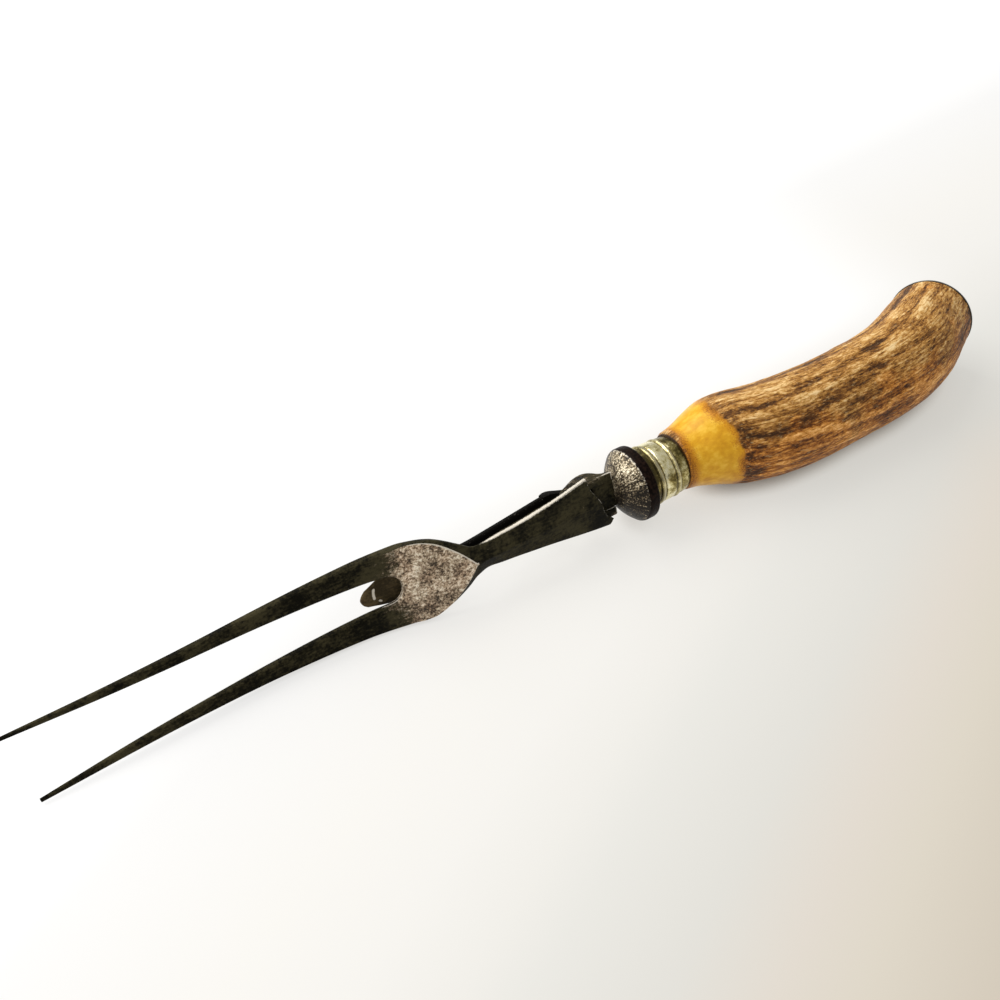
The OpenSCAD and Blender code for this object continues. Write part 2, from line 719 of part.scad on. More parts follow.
fork_blade();
guard();
guard_pin();
guard_spring();
spring_screw();
ferrule();
tang_cement();
handle();
butt_cap();
cap_nail();
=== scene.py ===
import math

import bmesh
import bpy
import numpy as np
from mathutils import Matrix, Vector, noise


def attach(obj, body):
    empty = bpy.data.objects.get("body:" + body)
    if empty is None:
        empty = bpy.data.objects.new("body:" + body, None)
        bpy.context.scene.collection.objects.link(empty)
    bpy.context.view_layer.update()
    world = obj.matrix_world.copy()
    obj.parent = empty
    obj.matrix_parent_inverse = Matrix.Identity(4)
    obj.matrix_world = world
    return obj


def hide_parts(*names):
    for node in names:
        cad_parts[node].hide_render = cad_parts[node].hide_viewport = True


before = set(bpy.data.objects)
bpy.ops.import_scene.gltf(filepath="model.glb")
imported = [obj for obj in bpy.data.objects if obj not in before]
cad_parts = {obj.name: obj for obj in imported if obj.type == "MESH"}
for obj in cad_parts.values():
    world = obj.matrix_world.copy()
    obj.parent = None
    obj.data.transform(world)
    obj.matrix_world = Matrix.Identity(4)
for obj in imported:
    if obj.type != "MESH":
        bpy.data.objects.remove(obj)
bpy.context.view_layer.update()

MM = 0.001

# Fork frame
# Same frame and sizes as the part's source: +X tines to handle, +Y lower to upper tine,
# +Z out of the front face, origin in the bolster's front edge, in millimetres.
REST_ROLL, REST_TILT = 16.2, 0.89
REST_SHIFT = (16.6, -1.5, 13.62)
LAID = (
    Matrix.Translation(Vector(REST_SHIFT) * MM)
    @ Matrix.Rotation(math.radians(-REST_TILT), 4, "Y")
    @ Matrix.Rotation(math.radians(90 - REST_ROLL), 4, "X")
)

TINE, TIP_SPREAD, TIP_LEAD, TIP_W, TIP_T = 96.5, 19.5, 1.6, 1.0, 0.7
GAP, SAG, RISE = 8.4, 4.3, 2.3
SH_W, SH_L, SH_T, SH_BEVEL = 23.4, 19.0, 2.3, 2.1
SHANK, NECK_W, NECK_OFF, NECK_WALL = 48.5, 7.6, 0.5, 0.9
FLARE_W, FLARE_T, RIDGE, SKEW = 16.4, 1.7, 1.1, 4.0
X_PIN, Z_PIN, PIN_R, KNUCKLE_R = -12.4, -3.1, 0.9, 2.1
CHEEK_IN, CHEEK_T, CHEEK_DEPTH, CHEEK_RISE, CHEEK_FRONT = 4.4, 2.1, 4.6, 1.1, -4.7
BOLSTER_R, BOLSTER_OFF, RIM, CONE = 10.6, 0.4, 3.4, 4.4
FER_L, FER_R, FER_BORE, BEAD = 12.0, 8.0, 7.4, 0.65
HANDLE_L, HANDLE_D, BUTT_D, BELLY, SWAY, DROP = 110.0, 28.0, 25.6, 4.3, 1.9, 9.9
CAP_RIM, CAP_DOME, CAP_LIP = 0.8, 1.0, 0.1

X_POINT = -SHANK
X_ROOT = X_POINT - SH_L
X_TIP = X_ROOT - TINE
X_FLARE = -11.5
X_NECK = X_POINT + 3.5
X_HANDLE = RIM + FER_L
X_BUTT = X_HANDLE + HANDLE_L


def smooth(pts, x):
    """Cubic curve through a list of [x, value] points, as in the part's source."""
    n = len(pts)
    i = 0
    while i < n - 2 and x > pts[i + 1][0]:
        i += 1

    def rise(k):
        a, b = max(k - 1, 0), min(k + 1, n - 1)
        return (pts[b][1] - pts[a][1]) / (pts[b][0] - pts[a][0])

    w = pts[i + 1][0] - pts[i][0]
    t = min(max((x - pts[i][0]) / w, 0), 1)
    u = 1 - t
    return (pts[i][1] * u * u * (1 + 2 * t) + pts[i + 1][1] * t * t * (1 + 2 * u)
            + rise(i) * w * t * u * u - rise(i + 1) * w * t * t * u)


def step(a, b, x):
    t = min(max((x - a) / (b - a), 0), 1)
    return t * t * (3 - 2 * t)


def lerp_list(pts, x):
    return float(np.interp(x, [p[0] for p in pts], [p[1] for p in pts]))


# Mesh helpers
def make(name, verts, faces, mat, body="fork", sharp=38, attrs=None):
    """Mesh object from fork-frame millimetres, laid on the table and riding on a body.
    Attribute place keeps the fork-frame millimetres for the materials."""
    me = bpy.data.meshes.new(name)
    me.from_pydata([tuple(LAID @ (Vector(v) * MM)) for v in verts], [], faces)
    for key, values in dict(attrs or {}, place=verts).items():
        if len(np.shape(values)) == 2:
            a = me.attributes.new(key, "FLOAT_VECTOR", "POINT")
            a.data.foreach_set("vector", np.asarray(values, np.float32).ravel())
        else:
            a = me.attributes.new(key, "FLOAT", "POINT")
            a.data.foreach_set("value", np.asarray(values, np.float32))
    bm = bmesh.new()
    bm.from_mesh(me)
    bmesh.ops.remove_doubles(bm, verts=bm.verts, dist=2e-7)
    bmesh.ops.dissolve_degenerate(bm, edges=bm.edges, dist=1e-7)
    bmesh.ops.recalc_face_normals(bm, faces=bm.faces)
    bm.to_mesh(me)
    bm.free()
    finish_mesh(me, sharp)
    return place(name, me, mat, body)


def finish_mesh(me, sharp):
    me.polygons.foreach_set("use_smooth", [True] * len(me.polygons))
    me.set_sharp_from_angle(angle=math.radians(sharp))
    me.update()


def place(name, me, mat, body):
    ob = bpy.data.objects.new(name, me)
    bpy.context.scene.collection.objects.link(ob)
    me.materials.append(mat)
    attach(ob, body)
    return ob


def join(name, parts, mat, body="fork", sharp=38):
    """One object from several (verts, faces, attrs) groups."""
    verts, faces, keys = [], [], set()
    for p in parts:
        keys |= set(p[2])
    attrs = {k: [] for k in keys}
    for v, f, a in parts:
        base = len(verts)
        verts += [tuple(q) for q in v]
        faces += [tuple(base + i for i in q) for q in f]
        for k in keys:
            attrs[k] += list(a.get(k, [0.0] * len(v)))
    return make(name, verts, faces, mat, body, sharp, attrs)


def lathe(profile, segments=128, wobble=0.0, seed=0.0):
    """Turned solid about the fork's axis from [x, radius] points; returns verts and faces."""
    verts, faces = [], []
    rows = []
    for k, (x, r) in enumerate(profile):
        if r < 1e-6:
            rows.append([len(verts)])
            verts.append((x, 0, 0))
            continue
        row = []
        for j in range(segments):
            a = 2 * math.pi * j / segments
            c, s = math.cos(a), math.sin(a)
            d = wobble * noise.noise(Vector((c * 1.3 + seed, s * 1.3, x * 0.25)))
            row.append(len(verts))
            verts.append((x, (r - abs(d)) * c, (r - abs(d)) * s))
        rows.append(row)
    for a, b in zip(rows, rows[1:]):
        if len(a) == 1 and len(b) == 1:
            continue
        for j in range(segments):
            k = (j + 1) % segments
            if len(a) == 1:
                faces.append((a[0], b[j], b[k]))
            elif len(b) == 1:
                faces.append((a[j], b[0], a[k]))
            else:
                faces.append((a[j], b[j], b[k], a[k]))
    return verts, faces


def slab(points, y0, y1, bevel=0.3, segments=2, sharp_limit=20):
    """Profile in the XZ plane between y0 and y1, its edges rounded; returns verts and faces."""
    bm = bmesh.new()
    ring = [bm.verts.new((x, y0, z)) for x, z in points]
    face = bm.faces.new(ring)
    got = bmesh.ops.extrude_face_region(bm, geom=[face])
    moved = [g for g in got["geom"] if isinstance(g, bmesh.types.BMVert)]
    bmesh.ops.translate(bm, verts=moved, vec=(0, y1 - y0, 0))
    bmesh.ops.recalc_face_normals(bm, faces=bm.faces)
    edges = [e for e in bm.edges if len(e.link_faces) == 2
             and e.calc_face_angle(0) > math.radians(sharp_limit)]
    bmesh.ops.bevel(bm, geom=edges, offset=bevel, segments=segments, affect="EDGES",
                    profile=0.5, clamp_overlap=True)
    bm.verts.index_update()
    verts = [tuple(v.co) for v in bm.verts]
    faces = [tuple(v.index for v in f.verts) for f in bm.faces]
    bm.free()
    return verts, faces


# Node helpers
class Mat:
    def __init__(self, name):
        self.m = bpy.data.materials.new(name)
        self.m.use_nodes = True
        self.t = self.m.node_tree
        self.bsdf = self.t.nodes["Principled BSDF"]

    def node(self, kind, **props):
        n = self.t.nodes.new(kind)
        for k, v in props.items():
            setattr(n, k, v)
        return n

    def link(self, a, b):
        self.t.links.new(a, b)

    def put(self, socket, value):
        if isinstance(value, bpy.types.NodeSocket):
            self.link(value, socket)
        else:
            socket.default_value = value

    def coords(self, scale=(1, 1, 1), rot=(0, 0, 0), cad=False):
        """Fork-frame millimetres, or row-frame millimetres on a piece of the CAD."""
        m = self.node("ShaderNodeMapping")
        m.inputs["Rotation"].default_value = rot
        if cad:
            c = self.node("ShaderNodeTexCoord").outputs["Object"]
            scale = tuple(q / MM for q in scale)
        else:
            c = self.attr("place", True)
        m.inputs["Scale"].default_value = scale
        self.link(c, m.inputs["Vector"])
        return m.outputs["Vector"]

    def attr(self, name, vector=False, scale=None):
        a = self.node("ShaderNodeAttribute", attribute_name=name)
        out = a.outputs["Vector" if vector else "Fac"]
        if scale:
            m = self.node("ShaderNodeMapping")
            m.inputs["Scale"].default_value = scale
            self.link(out, m.inputs["Vector"])
            out = m.outputs["Vector"]
        return out

    def noise(self, vec, scale, detail=4, rough=0.55, distort=0.0, out="Fac"):
        n = self.node("ShaderNodeTexNoise")
        self.link(vec, n.inputs["Vector"])
        n.inputs["Scale"].default_value = scale
        n.inputs["Detail"].default_value = detail
        n.inputs["Roughness"].default_value = rough
        n.inputs["Distortion"].default_value = distort
        return n.outputs[out]

    def axis(self, vec, name):
        n = self.node("ShaderNodeSeparateXYZ")
        self.link(vec, n.inputs[0])
        return n.outputs[name]

    def add(self, *parts):
        """Sum of sockets or numbers; a pair (socket, weight) is centred on one half."""
        total = None
        for p in parts:
            if isinstance(p, tuple):
                p = self.math("MULTIPLY", self.math("SUBTRACT", p[0], 0.5), p[1])
            total = p if total is None else self.math("ADD", total, p)
        return total

    def span(self, value, a, b, lo=0.0, hi=1.0):
        n = self.node("ShaderNodeMapRange", interpolation_type="SMOOTHSTEP")
        self.put(n.inputs["Value"], value)
        for key, v in (("From Min", a), ("From Max", b), ("To Min", lo), ("To Max", hi)):
            n.inputs[key].default_value = v
        return n.outputs["Result"]

    def math(self, op, a, b=None, clamp=False):
        n = self.node("ShaderNodeMath", operation=op, use_clamp=clamp)
        self.put(n.inputs[0], a)
        if b is not None:
            self.put(n.inputs[1], b)
        return n.outputs[0]

    def mix(self, fac, a, b, blend="MIX"):
        n = self.node("ShaderNodeMix", data_type="RGBA", blend_type=blend)
        self.put(n.inputs["Factor"], fac)
        self.put(n.inputs["A"], (*a, 1) if isinstance(a, tuple) else a)
        self.put(n.inputs["B"], (*b, 1) if isinstance(b, tuple) else b)
        return n.outputs["Result"]

    def ramp(self, fac, stops):
        n = self.node("ShaderNodeValToRGB")
        self.put(n.inputs["Fac"], fac)
        e = n.color_ramp.elements
        while len(e) < len(stops):
            e.new(0.5)
        for el, (pos, col) in zip(e, stops):
            el.position = pos
            el.color = (*col, 1)
        return n.outputs["Color"]

    def bump(self, height, distance, strength=1.0, normal=None):
        n = self.node("ShaderNodeBump")
        n.inputs["Strength"].default_value = strength
        n.inputs["Distance"].default_value = distance
        self.link(height, n.inputs["Height"])
        if normal is not None:
            self.link(normal, n.inputs["Normal"])
        return n.outputs["Normal"]

    def done(self, color=None, rough=None, normal=None, metal=0.0, spec=0.5):
        b = self.bsdf.inputs
        if color is not None:
            self.put(b["Base Color"], (*color, 1) if isinstance(color, tuple) else color)
        if rough is not None:
            self.put(b["Roughness"], rough)
        if normal is not None:
            self.put(b["Normal"], normal)
        self.put(b["Metallic"], metal)
        self.put(b["Specular IOR Level"], spec)
        return self.m


def steel_material(name, dark=(0.005, 0.0046, 0.0028), light=(0.042, 0.036, 0.0175), darker_to_heel=False):
    """Blackened forged steel. Attribute bare shows the pitted grey metal where the blackening is abraded,
    pale its lighter places; edge shows edges abraded bright together with painted highlights on edges that
    face the light; the tines are duller than the rest."""
    k = Mat(name)
    v = k.coords()
    big = k.noise(v, 0.12, 4, 0.6)
    fine = k.noise(v, 1.3, 5, 0.65)
    brushed = k.noise(k.coords(scale=(0.25, 1, 1)), 1.9, 4, 0.7)
    patina = k.mix(k.span(k.add(0.5, (big, 1.2), (fine, 0.8), (brushed, 0.7)), 0.3, 0.75), dark, light)
    fleck = k.span(k.noise(v, 3.0, 3, 0.7), 0.66, 0.76)
    patina = k.mix(k.math("MULTIPLY", fleck, 0.40), patina, (0.10, 0.09, 0.06))
    x = k.axis(v, "X")
    # the guard darker towards its heel
    if darker_to_heel:
        patina = k.mix(k.span(x, X_DARKER_HEEL - 6, X_DARKER_HEEL), patina, (0.0035, 0.003, 0.002))
    # bare metal: mottled warm grey with dark pits and pale scratches
    tone = k.add(0.51, (k.noise(v, 0.20, 3, 0.5), 0.7), (k.noise(v, 0.8, 6, 0.75), 1.35),
                 (k.noise(v, 1.8, 3, 0.7), 1.4), k.math("MULTIPLY", k.attr("pale"), 0.11))
    mott = k.ramp(tone, [
        (0.24, (0.040, 0.028, 0.017)), (0.40, (0.160, 0.113, 0.072)),
        (0.52, (0.345, 0.255, 0.168)), (0.64, (0.51, 0.41, 0.285)), (0.80, (0.80, 0.72, 0.58))])
    pink = k.span(k.noise(v, 0.22, 3, 0.5), 0.42, 0.62)
    mott = k.mix(k.math("MULTIPLY", pink, 0.35), mott, k.mix(1.0, mott, (0.95, 0.78, 0.70), "MULTIPLY"))
    pits = k.span(k.noise(v, 1.5, 5, 0.75), 0.42, 0.34)
    mott = k.mix(k.math("MULTIPLY", pits, 0.85), mott, (0.026, 0.019, 0.012))
    bare = k.attr("bare")
    streak = k.noise(k.coords(scale=(0.22, 1, 1)), 1.4, 5, 0.72)
    shown = k.span(k.add(bare, 0.45, (k.noise(v, 1.5, 5, 0.7), 0.9), (streak, 1.0)), 0.66, 1.20)
    col = k.mix(shown, patina, mott)
    # edges abraded bright and painted highlights on edges that face the light, mixed towards pale grey
    edge = k.attr("edge")
    rubbed_and_highlit = k.span(k.add(edge, (k.noise(v, 1.6, 4, 0.7), 0.9)), 0.40, 0.80)
    col = k.mix(k.math("MULTIPLY", rubbed_and_highlit, 0.9), col, (0.66, 0.61, 0.52))
    rough = k.math("SUBTRACT", k.span(fine, 0.3, 0.7, 0.44, 0.60),
                   k.math("MULTIPLY", shown, 0.06))
    n1 = k.bump(k.noise(v, 0.35, 5, 0.6), 0.00012, 0.6)
    n2 = k.bump(k.add(0.0, (fine, 1.0), (pits, -0.6)), 0.00008, 0.8, n1)
    worn_and_highlit = k.math("MAXIMUM", shown, rubbed_and_highlit)
    spec = k.math("MAXIMUM", k.span(x, DULL_X, BRIGHT_X, 0.02, 0.05), k.math("MULTIPLY", worn_and_highlit, 0.3))
    return k.done(col, rough, n2, metal=k.math("MULTIPLY", worn_and_highlit, 0.3), spec=spec)


def cone_material():
    """Bolster: radially streaked, speckled bare metal on the cone, near-black rim; painted light makes the
    cone lighter on its upper side, and a painted highlight, stronger on that side, lies on the thin edge
    line where the cone meets the rim.
    """
    k = Mat("bolster_steel")
    v = k.coords()
    ray = k.attr("ray", True)
    streak = k.noise(ray, 1.0, 5, 0.72, 0.5)
    speck = k.noise(v, 2.2, 4, 0.75)
    # painted light: lit makes the cone lighter on its upper side
    tone = k.add(0.135, (streak, 1.9), (speck, 2.5), (k.noise(v, 0.25, 3, 0.6), 0.8),
                 k.math("MULTIPLY", k.attr("lit"), 0.38))
    metal_col = k.ramp(tone, [
        (0.30, (0.012, 0.009, 0.006)), (0.46, (0.075, 0.055, 0.034)),
        (0.60, (0.245, 0.190, 0.112)), (0.74, (0.51, 0.43, 0.29)), (0.92, (0.86, 0.79, 0.62))])
    fine = k.noise(v, 1.2, 5, 0.65)
    dark = k.mix(k.span(fine, 0.4, 0.65), (0.0032, 0.0016, 0.0010), (0.015, 0.0075, 0.0048))
    shown = k.span(k.add(k.attr("bare"), (k.noise(v, 0.9, 5, 0.7), 0.9)), 0.3, 0.7)
    col = k.mix(shown, dark, metal_col)
    # a thin edge line abraded bright, with a painted highlight that is stronger on the upper side
    edge = k.attr("edge")
    rubbed_and_highlit = k.span(k.add(edge, (k.noise(v, 1.2, 5, 0.8), 2.4)), 0.55, 0.95)
    col = k.mix(k.math("MULTIPLY", rubbed_and_highlit, 0.85), col, (0.66, 0.60, 0.49))
    n1 = k.bump(streak, 0.00010, 0.7)
    n2 = k.bump(k.add(0.0, (fine, 1.0), (speck, 0.8)), 0.00008, 0.7, n1)
    metal = k.math("MULTIPLY", shown, 0.35)
    spec = k.add(k.math("MULTIPLY", shown, 0.15), 0.05)
    return k.done(col, k.span(fine, 0.3, 0.7, 0.34, 0.50), n2, metal=metal, spec=spec)


def silver_material():
    """Nickel silver with a green-yellow cast, brown-black tarnish in spots and grooves; painted highlights
    on the bead crests and a painted dark reflection along the front.
    """
    k = Mat("nickel_silver")
    v = k.coords()
    tone = k.add(0.47, (k.noise(v, 0.30, 4, 0.6), 1.4), (k.noise(v, 1.2, 5, 0.65), 0.6),
                 (k.attr("pale"), 0.85))
    base = k.ramp(tone, [
        (0.24, (0.090, 0.070, 0.020)), (0.48, (0.31, 0.250, 0.082)), (0.72, (0.76, 0.68, 0.36)),
        (0.90, (0.90, 0.84, 0.56))])
    spots = k.span(k.noise(v, 0.28, 4, 0.62, 0.5), 0.58, 0.70)
    base = k.mix(k.math("MULTIPLY", spots, 0.75), base, (0.040, 0.033, 0.014))
    small = k.span(k.noise(v, 1.3, 3, 0.6), 0.67, 0.74)
    base = k.mix(k.math("MULTIPLY", small, 0.75), base, (0.020, 0.016, 0.008))
    groove = k.attr("groove")
    base = k.mix(groove, base, (0.014, 0.011, 0.006))
    # painted highlights along the two bead crests
    painted_bead_highlight = k.attr("edge")
    base = k.mix(k.math("MULTIPLY", painted_bead_highlight, 0.6), base, (0.80, 0.74, 0.50))
    fine = k.noise(v, 1.8, 4, 0.6)
    n = k.bump(fine, 0.00003, 0.6, k.bump(k.noise(v, 0.22, 3), 0.00025, 0.7))
    rough = k.add(k.span(fine, 0.3, 0.7, 0.20, 0.32), k.math("MULTIPLY", spots, 0.2))
    metal = k.math("SUBTRACT", 0.85, k.math("MULTIPLY", groove, 0.6))
    return k.done(base, rough, n, metal=metal, spec=0.4)


def antler_material():
    """Stag antler: polished amber where the bark is cut away, ridged brown bark behind, with painted light
    making the bark's upper side lighter and greyer. Attribute along is the straightened handle, in
    millimetres."""
    k = Mat("stag_antler")
    ball = k.attr("along", True)
    cords = k.noise(k.attr("along", True, (1, 1, 0.10)), 0.75, 5, 0.6, 0.6)
    fibre = k.noise(k.attr("along", True, (1, 1, 0.20)), 2.0, 4, 0.68, 0.5)
    grit = k.noise(k.attr("along", True, (1, 1, 0.45)), 1.5, 6, 0.78, 0.2)
    big = k.noise(ball, 0.075, 3, 0.5)
    lit_top, relief, shade = k.attr("lit_top"), k.attr("relief"), k.attr("shade")
    # painted light: the bark lighter on its upper side
    tone = k.add(0.54, (relief, 0.40), (cords, 0.65), (fibre, 0.95), (grit, 1.10), (big, 0.50),
                 (lit_top, 0.07), k.math("MULTIPLY", shade, -0.17))
    bark = k.ramp(tone, [
        (0.26, (0.042, 0.017, 0.005)), (0.40, (0.118, 0.046, 0.010)),
        (0.50, (0.240, 0.103, 0.021)), (0.60, (0.39, 0.187, 0.043)),
        (0.72, (0.59, 0.335, 0.105)), (0.90, (0.84, 0.63, 0.34))])
    grey = k.mix(1.0, bark, (0.97, 0.94, 0.86), "MULTIPLY")
    warm = k.mix(1.0, bark, (1.16, 0.92, 0.62), "MULTIPLY")
    # painted light: the bark greyer on its upper side
    hue = k.span(k.add(0.5, (k.noise(ball, 0.12, 3, 0.5), 1.6), (lit_top, -0.7)), 0.35, 0.75)
    bark = k.mix(hue, grey, warm)
    stroke = k.span(k.noise(k.attr("along", True, (1, 1, 0.35)), 1.6, 4, 0.75, 0.3), 0.55, 0.70)
    bark = k.mix(k.math("MULTIPLY", stroke, 0.45), bark, (0.68, 0.47, 0.22))
    # amber band, orange-brown and grainy at both of its edges
    mott = k.noise(ball, 0.30, 5, 0.6)
    grain = k.noise(ball, 2.6, 5, 0.78)
    amber = k.ramp(mott, [
        (0.30, (0.52, 0.230, 0.010)), (0.50, (0.645, 0.335, 0.018)), (0.70, (0.77, 0.475, 0.055))])
    rim = k.attr("rim")
    burnt = k.span(k.add(rim, (grain, 2.1), (mott, 0.6)), 0.22, 0.80)
    amber = k.mix(burnt, amber, (0.45, 0.170, 0.010))
    scorch = k.span(k.add(rim, (grain, 2.6)), 0.72, 1.10)
    amber = k.mix(k.math("MULTIPLY", scorch, 0.8), amber, (0.07, 0.022, 0.005))
    shown = k.span(k.add(k.attr("amber"), (grain, 1.7), (mott, 0.5)), 0.30, 0.72)
    col = k.mix(shown, bark, amber)
    dirt = k.span(k.add(k.attr("dirt"), (grain, 0.8)), 0.2, 0.8)
    col = k.mix(k.math("MULTIPLY", dirt, 0.92), col, (0.014, 0.007, 0.004))
    h = k.math("MULTIPLY", k.add(0.0, (cords, 0.8), (fibre, 0.9), (grit, 0.7)),
               k.math("SUBTRACT", 1.0, shown))
    n1 = k.bump(h, 0.00042, 0.6)
    n2 = k.bump(grain, 0.00003, 0.4, n1)
    return k.done(col, k.span(shown, 0, 1, 0.52, 0.34), n2, spec=0.17)


def plain_metal(name, a, b, rough=(0.35, 0.5), metal=0.3, cad=False):
    k = Mat(name)
    v = k.coords(cad=cad)
    n1 = k.noise(v, 0.6, 5, 0.65)
    col = k.mix(k.span(n1, 0.35, 0.65), a, b)
    col = k.mix(k.math("MULTIPLY", k.attr("edge"), 0.8), col, (0.45, 0.42, 0.36))
    n = k.bump(k.noise(v, 1.5, 4, 0.6), 0.00004, 0.6)
    return k.done(col, k.span(n1, 0.3, 0.7, *rough), n, metal=metal, spec=0.4)


DULL_X, BRIGHT_X, X_DARKER_HEEL = -84, -64, -56
STEEL = steel_material("forged_steel")
GUARD_STEEL = steel_material("guard_steel", (0.030, 0.022, 0.011), (0.092, 0.066, 0.032), True)
BOLSTER = cone_material()
SILVER = silver_material()
ANTLER = antler_material()
SPRING = plain_metal("spring_steel", (0.035, 0.033, 0.03), (0.085, 0.08, 0.072), cad=True)
CAP = plain_metal("dark_cap", (0.010, 0.009, 0.007), (0.028, 0.024, 0.018), (0.3, 0.45))
RESIN = plain_metal("resin", (0.05, 0.028, 0.012), (0.09, 0.05, 0.02), (0.5, 0.6), 0.0, cad=True)


# Forged blade
HALF_SH = SH_W / 2


def tine_at(share):
    return X_ROOT - share * TINE


def shoulder_at(share):
    return X_ROOT + share * SH_L


FACE_ROOT = 1.53 - 0.175 * SH_L
SAG_Z = 0.2 - SAG
NECK_SPAN = X_FLARE - X_NECK
SHANK_T = FLARE_T + RIDGE
OUTLINE = [
    [X_TIP, TIP_SPREAD / 2 + TIP_W / 2], [tine_at(0.75), HALF_SH - 2.05],
    [tine_at(0.5), HALF_SH - 1.9], [tine_at(0.2), HALF_SH - 0.8],
    [X_ROOT, HALF_SH + 0.05], [shoulder_at(0.15), HALF_SH], [shoulder_at(0.37), HALF_SH - 0.6],
    [shoulder_at(0.6), HALF_SH - 2.3], [shoulder_at(0.85), HALF_SH - 5.2],
    [X_POINT, NECK_W / 2 + 0.7], [X_NECK, NECK_W / 2],
    [X_NECK + 0.12 * NECK_SPAN, NECK_W / 2 + 0.3], [X_NECK + 0.3 * NECK_SPAN, NECK_W / 2 + 0.8],
    [X_NECK + 0.6 * NECK_SPAN, FLARE_W / 2 - 2.25],
    [X_FLARE, FLARE_W / 2], [0, FLARE_W / 2 + 0.9]]
FACE = [
    [X_TIP, TIP_SPREAD / 2 + TIP_W / 2 - 0.15], [tine_at(0.6), HALF_SH - 2.5],
    [tine_at(0.2), HALF_SH - 1.3], [X_ROOT, HALF_SH - 0.35], [shoulder_at(0.2), HALF_SH - 0.1],
    [shoulder_at(0.36), HALF_SH - 0.8], [shoulder_at(0.57), HALF_SH - 0.8 - SH_BEVEL],
    [shoulder_at(0.78), HALF_SH - 4.3 - SH_BEVEL], [shoulder_at(0.9), 2.7], [X_POINT, 0.15]]
FRONT = [
    [X_TIP, SAG_Z + RISE], [tine_at(0.62), SAG_Z + 1], [tine_at(0.35), SAG_Z],
    [tine_at(0.12), SAG_Z + 0.5], [X_ROOT, FACE_ROOT], [shoulder_at(0.35), FACE_ROOT + 0.1 * SH_L],
    [X_POINT, SHANK_T - 0.4], [X_NECK, SHANK_T - 0.5], [X_FLARE, SHANK_T], [0, SHANK_T]]
THICK = [
    [X_TIP, TIP_T], [tine_at(0.6), SH_T - 0.6], [tine_at(0.1), SH_T - 0.2],
    [shoulder_at(0.35), SH_T], [X_POINT, SH_T + 0.2], [X_NECK + 5, SHANK_T + 0.5],
    [X_FLARE - 10, SHANK_T], [0, SHANK_T]]
EDGE_DROP = [
    [X_TIP, 0.25 * TIP_T], [tine_at(0.2), 0.6], [shoulder_at(0.3), 0.6],
    [X_POINT, SH_T + 0.2 - NECK_WALL], [X_NECK, SH_T + 0.6 - NECK_WALL],
    [X_NECK + 5, SHANK_T - 0.3 - NECK_WALL], [X_NECK + 14, RIDGE], [0, RIDGE]]
MIDDLE = [
    [shoulder_at(0.5), 0], [shoulder_at(0.9), -NECK_OFF], [X_NECK + 2, -NECK_OFF],
    [X_NECK + 0.6 * NECK_SPAN, -0.2 * NECK_OFF], [X_FLARE, 0]]
GAP_PTS = [
    [X_TIP, TIP_SPREAD / 2 - TIP_W / 2], [tine_at(0.72), GAP / 2 + 2.95],
    [tine_at(0.35), GAP / 2 + 1.3], [X_ROOT - GAP / 2, GAP / 2]]
FLARE_END = [
    [0.9, -1.02], [1.1, -0.86], [1.3, -0.76], [1.0, -0.7], [0.6, -0.55], [0.5, -0.42],
    [0.4, -0.1], [0.25, 0.15], [-0.1, 0.42], [-0.35, 0.72], [-0.4, 0.98], [-0.4, 1.1]]
END_CURVE = [[p[1] * FLARE_W / 2, X_FLARE + p[0] * SKEW] for p in FLARE_END]
X_ROUND = X_ROOT - GAP / 2
X_WARP, X_LAST = -24.0, -10.4
EDGE_R, RIM_R = 0.35, 1.2


def back_z(x):
    return smooth(FRONT, x) - smooth(THICK, x)


def inner(x):
    if x <= X_ROUND:
        return smooth(GAP_PTS, x)
    if x < X_ROOT:
        return math.sqrt(max((GAP / 2) ** 2 - (x - X_ROUND) ** 2, 0))
    return 0.0


def dip(d, r):
    """How far a rounded edge of radius r falls at distance d from the edge."""
    return 0.0 if d >= r else r - math.sqrt(max(r * r - (r - max(d, 0)) ** 2, 0))


